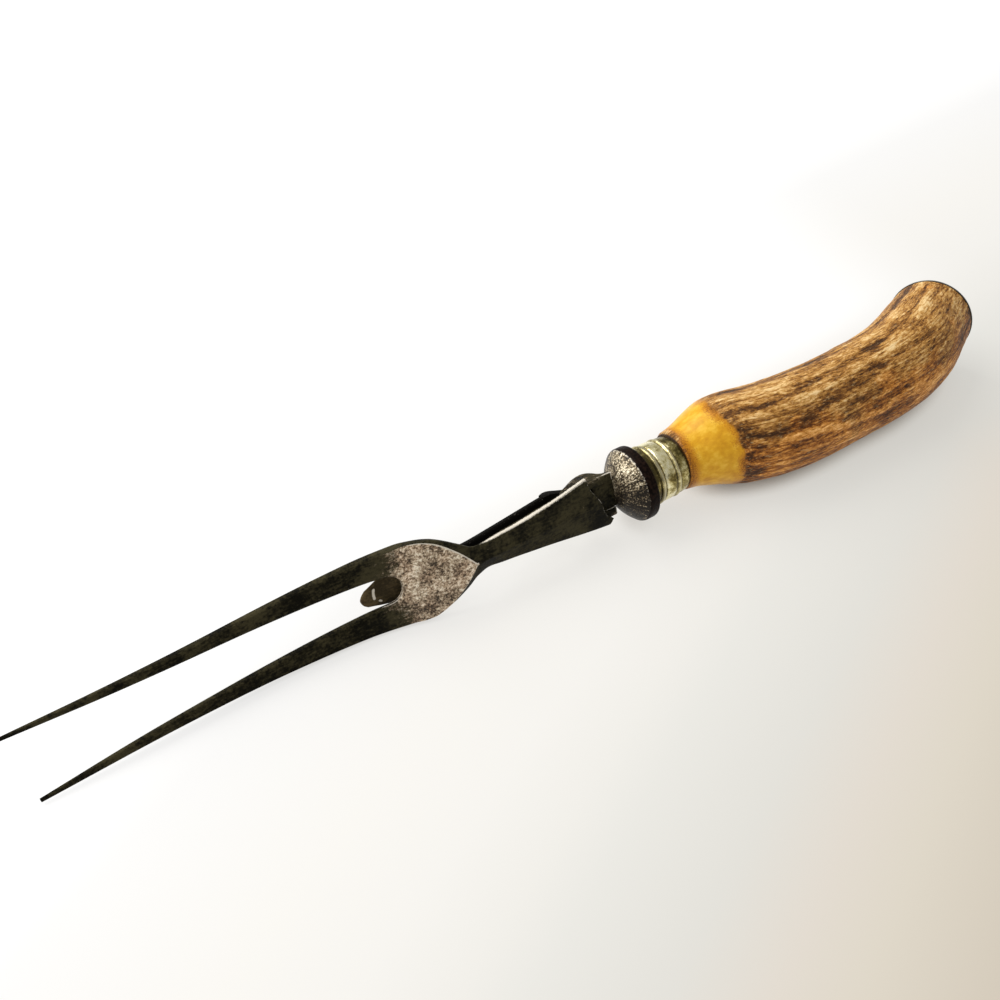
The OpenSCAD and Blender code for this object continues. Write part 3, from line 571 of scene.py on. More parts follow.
def blade_half(side):
    """One half of the blade, from the gap or the middle to its outer edge, as a closed skin."""
    xs = ([X_TIP + (X_ROUND - X_TIP) * i / 70 for i in range(70)]
          + [X_ROUND + (GAP / 2) * math.sin(math.pi / 2 * i / 16) for i in range(17)]
          + [X_ROOT + SH_L * i / 44 for i in range(1, 45)]
          + [X_POINT + (X_LAST - X_POINT) * i / 56 for i in range(1, 57)])
    near = [0.0, 0.12, 0.3, 0.55, 0.85]
    verts, faces, bare, edge, pale = [], [], [], [], []
    count = None
    for x in xs:
        yi, yo, fh = inner(x), smooth(OUTLINE, x), smooth(FACE, x) if x < X_POINT else 0.15
        fz, bz, drop = smooth(FRONT, x), back_z(x), smooth(EDGE_DROP, x)
        yo = max(yo, yi + 0.3)
        fh = min(max(fh, yi + 0.12), yo - 0.1)
        wide = fh - yi
        f = min(1.0, wide / 3.0)
        cols = [yi + c * f for c in near] + [yi + near[-1] * f + (wide - (near[-1] + 0.9) * f) * t
                                             for t in (0.2, 0.4, 0.6, 0.8, 1.0)]
        cols += [fh - 0.45 * f, fh - 0.15 * f, fh]
        cols += [fh + (yo - fh) * t for t in (0.08, 0.3, 0.55, 0.8, 0.93, 1.0)]
        inside = [dip_plan(x, y, yi) for y in cols]
        front = []
        for y, d in zip(cols, inside):
            z = fz - drop * max(0.0, (y - fh) / (yo - fh))
            if x < X_ROOT + 1.5:
                z -= dip(d, RIM_R * min(1.0, (fz - bz) / 2.0)) * step(X_ROOT + 1.5, X_ROOT, x)
            z -= dip(yo - y, min(EDGE_R, (yo - fh) * 0.8)) * 0.7
            front.append((y, max(z, bz + 0.12)))
        back = []
        for y, d in zip(cols, inside):
            z = bz + dip(yo - y, EDGE_R) * 0.8
            if x < X_ROOT:
                z += dip(d, 0.3) * 0.8
            back.append((y, z))
        ring = front + [(yo, front[-1][1] * 0.5 + back[-1][1] * 0.5)] + back[::-1]
        mid = (yi, front[0][1] * 0.5 + back[0][1] * 0.5)
        ring.append(mid)
        count = len(ring)
        nf = len(front)
        for j, (y, z) in enumerate(ring):
            ys = side * y
            share = max(X_ROOT - x, 0) / TINE
            xx = x - share * share * TIP_LEAD * ys / TIP_SPREAD
            if x > X_WARP:
                t = (x - X_WARP) / (X_LAST - X_WARP)
                xx += t ** 1.6 * (lerp_list(END_CURVE, ys) - X_LAST)
            verts.append((xx, ys + smooth(MIDDLE, x), z))
            on_face = j < nf and y <= fh + 1e-6 and x < X_POINT + 0.2
            on_wall = j >= nf and y - yi < 0.2 and x < X_ROOT
            lit_x = X_ROOT + 0.1 + 2.2 * step(4.2, 7.4, y)
            b = 0.0
            if on_face or on_wall:
                b = 0.50 * step(lit_x - 12, lit_x + 1, x) + 0.50 * step(lit_x - 3.5, lit_x + 1.5, x)
            bare.append(b)
            root_spot = math.exp(-((x - X_ROOT - 2.6) / 2.2) ** 2 - ((ys + 1.5) / 4.5) ** 2)
            pale.append(max(root_spot, 0.6 * step(3.5, 0.5, fh - y) * step(6, 12, x - X_ROOT)))
            # edge: painted highlights along edges that face the light, with edges abraded bright: the face's
            # edge line, stronger and wider on the upper half; the gap's rim at the root; the lower tine's
            # upper edge; the upper shank edge; the flare's end line
            e = 0.0
            if on_face and x > X_ROOT:
                wide, strong, first = (0.20, 0.75, 11.0)
                if side > 0:
                    wide, strong, first = 0.28 + 0.35 * step(5, 12, x - X_ROOT), 1.0, 1.5
                e = strong * math.exp(-((fh - y) / wide) ** 2) * step(first, first + 3, x - X_ROOT)
            reach = 3.0 if side > 0 else 7.5
            if (nf < j < count - 1 or j < 2) and y - yi < 0.1 and x < X_ROOT + 0.4:
                e = max(e, 0.9 * step(X_ROOT - reach, X_ROOT - reach + 2, x))
                if side < 0 and j < 2:
                    e = max(e, 0.40 * step(X_ROOT - 24, X_ROOT - 12, x))
            if nf - 2 <= j <= nf and x > X_POINT and side > 0:
                e = max(e, (0.35 if j == nf - 2 else 0.9) * step(X_POINT, X_POINT + 5, x))
            if x > X_LAST - 0.35 and j < nf:
                e = max(e, 0.5 + 0.6 * noise.noise(Vector((0, 0.9 * ys, 3))))
            edge.append(e)
    rows = len(xs)
    root = 70 + 16
    for i in range(rows - 1):
        for j in range(count):
            k = (j + 1) % count
            if j >= count - 2 and i >= root:
                continue  # no inner wall behind the root
            a, b, c, d = i * count + j, i * count + k, (i + 1) * count + k, (i + 1) * count + j
            faces.append((a, b, c, d))
    nf = (count - 2) // 2
    last = (rows - 1) * count
    for j in range(nf - 1):
        a, b = last + j, last + j + 1
        c, d = last + 2 * nf - j - 1, last + 2 * nf - j
        if j == nf - 2:
            faces.append((a, b, last + nf, c, d))
        else:
            faces.append((a, b, c, d))
    faces.append(tuple(reversed(range(count))))
    return verts, faces, {"bare": bare, "edge": edge, "pale": pale}


def dip_plan(x, y, yi):
    """Plan distance of a point from the gap's edge."""
    if x <= X_ROUND:
        return y - yi
    return math.hypot(x - X_ROUND, y) - GAP / 2


CHEEK = [
    [-8.6, 0.3], [-7.3, -1.1], [-5, -2.4], [-2.6, -3.7], [-0.7, -CHEEK_DEPTH + 0.2],
    [1, -CHEEK_DEPTH], [2.6, -CHEEK_DEPTH + 0.5], [3.8, -CHEEK_DEPTH + 1.7],
    [4.7, -CHEEK_DEPTH + 3.1], [5.6, -0.7]]


def cheek(side):
    pts = [(X_PIN + p[0], p[1]) for p in CHEEK]
    soft = [pts[0]]
    for i in range(len(pts) - 1):
        p0, p1 = np.array(pts[max(i - 1, 0)]), np.array(pts[i])
        p2, p3 = np.array(pts[i + 1]), np.array(pts[min(i + 2, len(pts) - 1)])
        for t in (0.25, 0.5, 0.75, 1.0):
            soft.append(tuple(0.5 * (2 * p1 + (p2 - p0) * t + (2 * p0 - 5 * p1 + 4 * p2 - p3) * t * t
                                     + (3 * p1 - p0 - 3 * p2 + p3) * t ** 3)))
    f = CHEEK_FRONT
    pts = soft + [(f - 0.5, -0.4), (f - 0.12, -0.15), (f, 0.25), (f, CHEEK_RISE - 0.45),
                  (f - 0.15, CHEEK_RISE - 0.12), (f - 0.55, CHEEK_RISE), (X_FLARE - 2, CHEEK_RISE),
                  (X_FLARE - 3, 0.3)]
    y0, y1 = sorted((side * CHEEK_IN, side * (CHEEK_IN + CHEEK_T)))
    v, fc = slab(pts, y0, y1, 0.28, 3, 25)
    # edge: painted highlights on the lug's front end rim and along its outer top edge
    edge = []
    for x, y, z in v:
        e = 0.0
        if x > f - 0.3 and z > CHEEK_RISE - 0.7:
            e = 0.95
        elif z > CHEEK_RISE - 0.35 and abs(y) > CHEEK_IN + CHEEK_T - 0.35:
            e = 0.35
        edge.append(e)
    bare = [0.26 if abs(y) > CHEEK_IN + CHEEK_T - 0.3 else 0.0 for x, y, z in v]
    return v, fc, {"edge": edge, "bare": bare}


def hinge_neck():
    x0 = X_PIN + 1.6
    arc = []
    r = KNUCKLE_R + 0.4
    for i in range(9):
        z = -3.4 + (0.2 + 3.4) * i / 8
        dz = z - Z_PIN
        arc.append((max(x0, X_PIN + math.sqrt(max(r * r - dz * dz, 0))), z))
    pts = arc + [(-CONE / 2, 0.2), (-CONE / 2, -3.4)]
    v, f = slab(pts, -CHEEK_IN, CHEEK_IN, 0.12, 2, 30)
    return v, f, {"bare": [0.0] * len(v), "edge": [0.0] * len(v)}


def tang():
    """Tapered tang inside the handle."""
    lean = math.radians(4)
    verts = []
    for x, h in ((-1, 3.0), (58, 1.35)):
        for sy, sz in ((-1, -1), (1, -1), (1, 1), (-1, 1)):
            y, z = sy * h, sz * h * 0.7
            verts.append((RIM + x * math.cos(lean) - z * math.sin(lean), y,
                          x * math.sin(lean) + z * math.cos(lean)))
    faces = [(3, 2, 1, 0), (4, 5, 6, 7)] + [(i, (i + 1) % 4, (i + 1) % 4 + 4, i + 4) for i in range(4)]
    return verts, faces, {"bare": [0.0] * 8, "edge": [0.0] * 8}


def cross_drum(x, z, r_in, r_out, half, segments=64):
    """Tube along Y about (x, z), its rims rounded."""
    prof = [(r_in, -half), (r_out - 0.2, -half), (r_out - 0.06, -half + 0.06), (r_out, -half + 0.2),
            (r_out, half - 0.2), (r_out - 0.06, half - 0.06), (r_out - 0.2, half), (r_in, half)]
    verts, faces = [], []
    n = len(prof)
    for j in range(segments):
        a = 2 * math.pi * j / segments
        for r, y in prof:
            verts.append((x + r * math.cos(a), y, z + r * math.sin(a)))
    for j in range(segments):
        k = (j + 1) % segments
        for i in range(n):
            m = (i + 1) % n
            faces.append((j * n + i, j * n + m, k * n + m, k * n + i))
    return verts, faces


fork = join("fork_forging", [blade_half(1), blade_half(-1), cheek(1), cheek(-1), hinge_neck(),
                             tang()], STEEL)
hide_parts("fork_blade")

# Bolster disc
CONE_PTS = [
    [-CONE, 0], [-CONE, 0.36], [-0.93 * CONE, 0.45], [-0.75 * CONE, 0.58], [-0.5 * CONE, 0.73],
    [-0.25 * CONE, 0.85], [-0.05 * CONE, 0.93], [0.4, 0.98], [1.1, 1.0]]
prof = [(-CONE, 0.0), (-CONE, 0.36 * BOLSTER_R)]
cone_r = [[p[0], p[1] * BOLSTER_R] for p in CONE_PTS[1:]]
cone_r[0][0] -= 1e-3
for i in range(1, 41):
    x = -CONE + (1.1 + CONE) * (i / 40) ** 1.3
    prof.append((x, smooth(cone_r, x)))
prof += [(1.6, BOLSTER_R), (2.2, BOLSTER_R), (2.7, BOLSTER_R), (RIM - 0.4, BOLSTER_R - 0.03),
         (RIM - 0.18, BOLSTER_R - 0.1), (RIM - 0.04, BOLSTER_R - 0.28), (RIM, BOLSTER_R - 0.5),
         (RIM, 7.0), (RIM, 0.0)]
v, f = lathe(prof, 160, 0.10, 3.0)
at = {"bare": [], "edge": [], "lit": [], "ray": []}
for x, y, z in v:
    r = math.hypot(y, z)
    turn = math.atan2(z, y)
    # painted light: lit is 1 on the cone's upper side, where light falls, and 0 below; edge also carries a
    # painted highlight, stronger where lit
    c = math.cos(turn - 0.15)
    lit = 0.3 * step(-0.8, 0.9, c) + 0.7 * step(0.2, 1.0, c)
    at["lit"].append(lit)
    at["bare"].append(0.95 * step(0.5, 0.0, x))
    at["edge"].append(math.exp(-((x - 0.25) / 0.32) ** 2) * (r > 9) * (0.30 + 0.50 * lit))
    at["ray"].append((14 * math.cos(turn), 14 * math.sin(turn), 0.6 * (x + CONE)))
v = [(x, y - BOLSTER_OFF, z) for x, y, z in v]
bolster = make("bolster_disc", v, f, BOLSTER, "fork", 50, at)
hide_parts("fork_blade")

# Ferrule
e, b, w, l, x0 = FER_R, FER_R + BEAD, FER_R + BEAD / 2, FER_L, RIM
fer = [
    [x0, FER_BORE], [x0, w - 0.1], [x0 + 0.05, w], [x0 + 0.14 * l, w + 0.08],
    [x0 + 0.17 * l, w + 0.02], [x0 + 0.185 * l, e + 0.12], [x0 + 0.20 * l, e + 0.10],
    [x0 + 0.215 * l, b - 0.25], [x0 + 0.235 * l, b - 0.06], [x0 + 0.265 * l, b],
    [x0 + 0.295 * l, b - 0.08], [x0 + 0.315 * l, b - 0.3], [x0 + 0.33 * l, e + 0.08],
    [x0 + 0.345 * l, w - 0.05], [x0 + 0.37 * l, w + 0.04], [x0 + 0.43 * l, w + 0.10],
    [x0 + 0.5 * l, w + 0.12], [x0 + 0.57 * l, w + 0.08], [x0 + 0.615 * l, w + 0.0],
    [x0 + 0.635 * l, e + 0.05], [x0 + 0.65 * l, e + 0.02], [x0 + 0.665 * l, b - 0.42],
    [x0 + 0.685 * l, b - 0.2], [x0 + 0.71 * l, b - 0.12], [x0 + 0.735 * l, b - 0.22],
    [x0 + 0.75 * l, w - 0.22], [x0 + 0.78 * l, w - 0.10], [x0 + 0.86 * l, w - 0.14],
    [x0 + 0.94 * l, e + 0.06], [x0 + 0.985 * l, e], [x0 + l, e - 0.12], [x0 + l, FER_BORE]]
v, f = lathe(fer + [fer[0]], 160, 0.06, 9.0)
groove, edge, pale = [], [], []
PALE_PTS = [[0, 0.30], [0.18, 0.35], [0.33, 0.5], [0.36, 0.95], [0.62, 0.85], [0.65, 0.5],
            [0.76, 0.50], [1, 0.45]]
for x, y, z in v:
    t = (x - x0) / l
    turn = math.atan2(z, y)
    # painted dark reflection: a dark streak along the front of the wide band, and one further round on the
    # bands near the bolster
    painted_dark_reflection = 0.55 * math.exp(-((turn - 1.5) / 0.32) ** 2) * step(0.36, 0.48, t) * step(0.70, 0.60, t)
    painted_dark_reflection += 0.45 * math.exp(-((turn - 2.0) / 0.3) ** 2) * step(0.36, 0.2, t)
    pale.append(lerp_list(PALE_PTS, t) - painted_dark_reflection)
    g = max(math.exp(-((t - 0.192) / 0.012) ** 2), math.exp(-((t - 0.332) / 0.012) ** 2),
            math.exp(-((t - 0.643) / 0.012) ** 2), 0.75 * math.exp(-((t - 0.755) / 0.012) ** 2),
            0.9 * math.exp(-((t - 0.0) / 0.02) ** 2), 0.8 * math.exp(-((t - 1.0) / 0.012) ** 2))
    groove.append(g)
    # painted highlights along the two bead crests
    edge.append(max(math.exp(-((t - 0.262) / 0.026) ** 2), math.exp(-((t - 0.705) / 0.024) ** 2)))
ferrule = make("beaded_ferrule", v, f, SILVER, "fork", 60, {"groove": groove, "edge": edge, "pale": pale})
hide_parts("ferrule")


# Handle
def handle_at(share):
    return X_HANDLE + share * HANDLE_L


BEND = [
    [0, 0, 0], [0.08, 0.07, 0], [0.16, 0.16, 0], [0.24, 0.64, 0], [0.32, 0.91, 0], [0.42, 1, 0],
    [0.55, 0.89, 0], [0.7, 0.62, 0], [0.83, 0.3, 0.23], [0.93, 0.05, 0.64], [1, 0, 1]]
GIRTH = [
    [0.09, 0.8], [0.15, 0.94], [0.22, 0.98], [0.36, 1], [0.5, 0.98], [0.7, 1], [0.85, 0.995]]
SIDE = [[0, -0.25], [0.1, -0.35], [0.3, 0.68], [0.5, 1], [0.75, 0.84], [1, -0.1]]
HZ = [[handle_at(p[0]), p[1] * BELLY - p[2] * DROP] for p in BEND]
HR = ([[X_HANDLE, FER_R + 0.5], [handle_at(0.04), FER_R + 1.3]]
      + [[handle_at(p[0]), p[1] * HANDLE_D / 2] for p in GIRTH] + [[X_BUTT, BUTT_D / 2]])
HY = [[handle_at(p[0]), -p[1] * SWAY] for p in SIDE]


def handle_lean(x):
    a, b = max(x - 0.5, X_HANDLE), min(x + 0.5, X_BUTT)
    return math.atan2(smooth(HZ, b) - smooth(HZ, a), b - a)


# ridges and hollows of the bark as seen in front: [length from the ferrule, degrees from the
# upper side] along each, with its half width in millimetres
RIDGES = [
    (1.5, [[16, 2], [20, 6], [31, 13], [41, 10], [58, 6], [75, -4], [95, -9], [110, -10]]),
    (1.3, [[18, 45], [25, 43], [36, 42], [47, 36], [61, 29], [76, 23], [89, 16], [110, 10]]),
    (1.0, [[22, 72], [27, 77], [36, 82], [45, 87], [61, 97], [78, 96], [100, 100]])]
HOLLOWS = [
    (0.9, [[18, 30], [28, 31], [38, 28], [50, 20], [62, 16], [74, 12], [95, 4], [110, 0]]),
    (1.6, [[15, 50], [24, 67], [33, 65], [45, 52], [58, 44], [66, 38]]),
    (1.0, [[16, -10], [40, -14], [70, -20], [110, -26]])]
# dark knots and short grooves: length, degrees, half length and half width
KNOTS = [
    (68.5, 21, 1.8, 1.0), (65.5, 43, 2.6, 1.3), (62, 36, 1.4, 0.7), (105, -14, 4, 1.0),
    (105.5, 18, 4, 1.0), (100, 41, 4, 0.8), (96, -15, 4, 0.8), (50, 32, 3, 0.7)]
# light places between them
PALES = [(63.5, 18, 2.8, 1.5), (72, 30, 2.5, 1.0)]
MEAN_R = 13.5


def off_track(track, turn, s):
    """Distance of a place on the handle from a track, in half widths, and its fade at the ends."""
    wide, pts = track
    gap = (turn - math.radians(lerp_list(pts, s)) + math.pi) % (2 * math.pi) - math.pi
    ends = step(pts[0][0] - 4, pts[0][0] + 2, s) * step(pts[-1][0] + 6, pts[-1][0] - 4, s)
    return math.exp(-(gap * MEAN_R / wide) ** 2) * ends


def spot(s, turn, at_s, at_turn, half_length, half_width):
    """1 in the middle of a spot on the handle, falling to 0 round it."""
    gap = (turn - math.radians(at_turn) + math.pi) % (2 * math.pi) - math.pi
    return math.exp(-((s - at_s) / half_length) ** 2 - (gap * MEAN_R / half_width) ** 2)


def bark_relief(turn, s):
    """0 in the bark's grooves to 1 on its ridges; long along the handle."""
    c, d = MEAN_R * math.cos(turn), MEAN_R * math.sin(turn)
    wave = 1.6 * noise.noise(Vector((c * 0.05, d * 0.05, s * 0.05)))
    a = noise.noise(Vector((c * 0.27 + wave, d * 0.27, s * 0.030)))
    b2 = noise.noise(Vector((c * 0.62 + 7, d * 0.62 + wave, s * 0.07)))
    c2 = noise.noise(Vector((c * 1.5, d * 1.5 + 3, s * 0.22)))
    rel = 0.36 * (1 - abs(a) * 2.1) + 0.36 * (0.5 + b2) + 0.24 * (0.5 + c2) + 0.02
    rel += 0.42 * max(off_track(t, turn, s + 2 * c2) for t in RIDGES)
    rel -= 0.30 * max(off_track(t, turn, s + 2 * b2) for t in HOLLOWS)
    return min(max(rel, 0), 1)


def build_handle():
    rows, around = 320, 200
    verts, faces = [], []
    at = {k: [] for k in ("relief", "amber", "rim", "dirt", "shade", "lit_top", "along")}
    for i in range(rows + 1):
        x = X_HANDLE + HANDLE_L * (i / rows)
        r, y0, z0 = smooth(HR, x), smooth(HY, x), smooth(HZ, x)
        lean = 0.0 if i == 0 else handle_lean(x)
        s = x - X_HANDLE
        for j in range(around):
            turn = 2 * math.pi * j / around
            c, d = math.cos(turn), math.sin(turn)
            # painted light: 1 on the handle's upper side, where light falls, 0 below
            lit_upper = step(-0.2, 0.9, c)
            wob = noise.noise(Vector((c * 1.4, d * 1.4, s * 0.02)))
            edge_s = 15.0 - 1.2 * c - 3.0 * min(d, 0) * step(-0.2, 0.5, c) + 0.4 * wob
            edge_s += 1.3 * noise.noise(Vector((c * 4, d * 4, 5)))
            edge_s += 0.3 * noise.noise(Vector((c * 13, d * 13, 8)))
            am = step(edge_s + 2.3, edge_s - 1.7, s)
            patch = step(0.72, 0.95, math.cos(turn + 0.05) + 0.10 * wob) * step(3.2, 1.4, s - 1.2 * wob)
            am *= 1 - patch
            rel = bark_relief(turn, s)
            depth = 0.42 * (1 - rel) * (1 - am) * step(0, 3, s + 2 * patch)
            depth *= 1 - 0.8 * step(HANDLE_L - 7, HANDLE_L - 1, s)
            depth += 0.10 * (0.5 + noise.noise(Vector((c * 2, d * 2, s * 0.12))))
            depth += 0.05 * step(HANDLE_L - 1.2, HANDLE_L, s) + 0.45 * step(0.8, 0, s)
            rr = r - depth
            verts.append((x - rr * d * math.sin(lean), y0 + rr * c, z0 + rr * d * math.cos(lean)))
            burn = 0.66 + 0.6 * noise.noise(Vector((c * 2.2, d * 2.2, 11)))
            rim = max(burn * step(4.6, 0.2, edge_s - s), 0.95 * step(5.2, 0.4, s))
            light = 0.35 * step(70, 98, s) * step(0.1, 0.8, c) * step(-0.6, 0.2, d)
            for sk, tk, lk, wk in PALES:
                light += 1.7 * spot(s, turn, sk, tk, lk, wk)
            shade = 0.75 * math.exp(-((s - edge_s - 3.5) / 3.4) ** 2) * (0.3 + 0.7 * step(0.95, 0.5, c))
            for track in HOLLOWS:
                shade = max(shade, 0.38 * off_track(track, turn, s))
            for sk, tk, lk, wk in KNOTS:
                shade = max(shade, 1.1 * spot(s, turn, sk, tk, lk, wk))
            values = {"relief": rel, "amber": am, "rim": rim, "shade": shade - light, "lit_top": lit_upper,
                      "dirt": max(step(0.6, 0.05, s), 0.42 * patch * step(3.5, 0.2, s)),
                      "along": (MEAN_R * c, MEAN_R * d, s)}
            for key, value in values.items():
                at[key].append(value)
    for i in range(rows):
        for j in range(around):
            k = (j + 1) % around
            faces.append((i * around + j, i * around + k, (i + 1) * around + k, (i + 1) * around + j))
    faces.append(tuple(reversed(range(around))))
    faces.append(tuple(rows * around + j for j in range(around)))
    return verts, faces, at


v, f, at = build_handle()
handle = make("antler_handle", v, f, ANTLER, "fork", 60, at)
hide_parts("handle")

# Butt cap and nail
LEAN = handle_lean(X_BUTT)
BUTT = (X_BUTT, smooth(HY, X_BUTT), smooth(HZ, X_BUTT))


def at_butt(verts):
    """Moves lathe work about X to the butt and leans it with the handle."""
    c, s = math.cos(LEAN), math.sin(LEAN)
    return [(BUTT[0] + x * c - z * s, BUTT[1] + y, BUTT[2] + x * s + z * c) for x, y, z in verts]


CAP_SINK = 0.03
cap_r = BUTT_D / 2 + CAP_LIP - CAP_SINK
prof = [(0.0, 0.8), (0.0, cap_r - 0.15), (0.1, cap_r), (CAP_RIM * 0.7, cap_r), (CAP_RIM, cap_r - 0.25)]
prof += [(CAP_RIM + CAP_DOME * math.sin(a), (cap_r - 0.3) * math.cos(a))
         for a in (math.pi / 2 * k / 14 for k in range(1, 14))]
prof = [p for p in prof if p[1] > 0.8] + [(CAP_RIM + CAP_DOME, 0.8), (0.0, 0.8)]
v, f = lathe(prof, 128, 0.05, 5.0)
edge = [math.exp(-((x - CAP_RIM * 0.8) / 0.2) ** 2) * 0.3 if math.hypot(y, z) > cap_r - 0.5 else 0.0
        for x, y, z in v]
cap = make("domed_cap", at_butt(v), f, CAP, "fork", 50, {"edge": edge})
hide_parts("butt_cap")

seat = CAP_RIM + CAP_DOME
prof = [(-13.0, 0.0), (-12.0, 0.6), (-11.0, 0.8), (seat, 0.8), (seat, 1.45), (seat + 0.12, 1.58),
        (seat + 0.35, 1.5), (seat + 0.6, 1.15), (seat + 0.8, 0.6), (seat + 0.88, 0.0)]
v, f = lathe(prof, 48)
nail = make("domed_nail", at_butt(v), f, CAP, "fork", 50, {"edge": [0.3 if p[0] > seat else 0.0 for p in v]})
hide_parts("cap_nail")

# Folding guard
X_LEAF = X_ROOT - 10.9
LEAF_W, LEAF_T, ARM_W, ARM_WAIST, ARM_T = 9.4, 0.9, 8.2, 5.3, 1.9
HEEL, NUB = -5.7, 0.5
HEEL_X = X_PIN - 8
LEAF_REST = back_z(X_ROOT - GAP / 2) - 0.65
LEAF_OFF = 1.3
WIDTH = [
    [X_LEAF, 0.0], [X_LEAF + 0.15, 0.7], [X_LEAF + 0.6, 1.5], [X_LEAF + 1.6, 2.4],
    [X_LEAF + 3.2, LEAF_W / 2 - 1.75], [X_LEAF + 5.5, LEAF_W / 2 - 0.9],
    [X_LEAF + 9.5, LEAF_W / 2], [X_LEAF + 15, LEAF_W / 2 - 0.3], [X_POINT - 6, ARM_WAIST / 2 + 0.6],
    [X_POINT - 1, ARM_WAIST / 2], [X_POINT + 8, ARM_WAIST / 2 + 0.35], [HEEL_X, ARM_W / 2]]
G_FRONT = [
    [X_LEAF, LEAF_REST - 0.1], [X_LEAF + 8, LEAF_REST - 0.05], [X_POINT - 2, HEEL + 1.8],
    [X_POINT + 8, HEEL + 1.5], [HEEL_X, HEEL]]


def guard_arm():
    xs = ([X_LEAF + 6 * (i / 26) ** 1.7 for i in range(27)]
          + [X_LEAF + 6 + (HEEL_X - X_LEAF - 6) * i / 110 for i in range(1, 111)])
    verts, faces, bare, edge = [], [], [], []
    cols = [-1, -0.95, -0.88] + [-0.8 + 0.08 * i for i in range(21)] + [0.88, 0.95, 1]
    n = len(cols)
    for i, x in enumerate(xs):
        hw = max(smooth(WIDTH[4:], x) if x > X_LEAF + 3.2 else lerp_list(WIDTH, x), 0.02)
        off = -LEAF_OFF * min(max((HEEL_X - x) / (HEEL_X - X_LEAF), 0), 1) ** 2
        fz = smooth(G_FRONT, x)
        taper = 1 - min(max((x - X_LEAF) / 18, 0), 1)
        th = ARM_T - (ARM_T - LEAF_T) * taper
        for c in cols:
            fall = 0.55 * abs(c) ** 6 * min(th, 1.2)
            verts.append((x, off + hw * c, fz - fall * 0.9))
            e = 0.35 * (abs(c) > 0.85) if x > X_LEAF + 12 else 0.0
            for wide, pts in WORN:
                q = off_stroke((x, off + hw * c), pts) / wide
                e = max(e, 1.2 * math.exp(-q * q))
            edge.append(e)
            bare.append(0.0)
        for c in reversed(cols):
            fall = 0.35 * abs(c) ** 6 * min(th, 1.2)
            verts.append((x, off + hw * c, fz - th + fall * 0.9))
            edge.append(0.0)
            bare.append(0.0)
    m = 2 * n
    for i in range(len(xs) - 1):
        for j in range(m):
            k = (j + 1) % m
            faces.append((i * m + j, i * m + k, (i + 1) * m + k, (i + 1) * m + j))
    faces.append(tuple(reversed(range(m))))
    faces.append(tuple((len(xs) - 1) * m + j for j in range(m)))
    return verts, faces, {"bare": bare, "edge": edge}


# small rubbed strokes on the leaf's front: half width, then x and y along each
WORN = [(0.40, [(-74.4, 0.8), (-74.8, -0.4), (-74.8, -1.8)]), (0.34, [(-73.6, -2.9), (-73.2, -3.3)])]


def off_stroke(p, pts):
    """Distance of a point in plan from a broken line."""
    least = 1e9
    for (ax, ay), (bx, by) in zip(pts, pts[1:]):
        t = ((p[0] - ax) * (bx - ax) + (p[1] - ay) * (by - ay)) / ((bx - ax) ** 2 + (by - ay) ** 2)
        t = min(max(t, 0), 1)
        least = min(least, math.hypot(p[0] - ax - t * (bx - ax), p[1] - ay - t * (by - ay)))
    return least


def guard_heel():
    k = KNUCKLE_R
    back = HEEL - ARM_T
    pts = [(HEEL_X - 2.2, HEEL + 0.02), (HEEL_X, HEEL), (HEEL_X + 2, HEEL + 1.3),
           (X_PIN - 0.85 * k, Z_PIN + 0.5 * k), (X_PIN - 0.8 * k, Z_PIN - 0.2 * k),
           (X_PIN - 0.62 * k, Z_PIN - 0.75 * k), (X_PIN - 0.35 * k, Z_PIN - 0.88 * k),
           (X_PIN - 2.6, Z_PIN - 1.5), (X_PIN - 4.6, Z_PIN - 2.3), (X_PIN - 6.2, HEEL - 0.5 * ARM_T),
           (X_PIN - 7.3, back), (HEEL_X - 0.3, back - NUB), (HEEL_X - 1.4, back - NUB),
           (HEEL_X - 2.5, back - 0.05), (HEEL_X - 2.7, back + 0.1)]
    v, f = slab(pts, -ARM_W / 2 + 0.02, ARM_W / 2 - 0.02, 0.25, 2, 20)
    return v, f, {"bare": [0.0] * len(v), "edge": [0.0] * len(v)}


half = CHEEK_IN - 0.25
dv, df = cross_drum(X_PIN, Z_PIN, PIN_R + 0.05, KNUCKLE_R, half)
guard = join("folding_guard", [guard_arm(), guard_heel(),
                               (dv, df, {"bare": [0.1] * len(dv), "edge": [0.0] * len(dv)})],
             GUARD_STEEL, "guard_arm")
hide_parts("guard")

# CAD pieces that stay
for node, mat, slot in (("guard_pin", SPRING, "spring_steel"), ("guard_spring", SPRING, "spring_steel"),
                        ("spring_screw", SPRING, "spring_steel"), ("tang_cement", RESIN, "resin")):
    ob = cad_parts[node]
    ob.data.materials.clear()
    ob.data.materials.append(mat)
    if node != "tang_cement":
        bev = ob.modifiers.new("soft_edges", "BEVEL")
        bev.width = 0.00008
        bev.segments = 2
        bev.limit_method = "ANGLE"

# Floor, light, camera
floor_mesh = bpy.data.meshes.new("floor")
F = 3.0
floor_mesh.from_pydata([(-F, -F, 0), (F, -F, 0), (F, F, 0), (-F, F, 0)], [], [(0, 1, 2, 3)])
floor = bpy.data.objects.new("floor", floor_mesh)
floor.location.z = -0.00002
bpy.context.scene.collection.objects.link(floor)
k = Mat("floor_white")
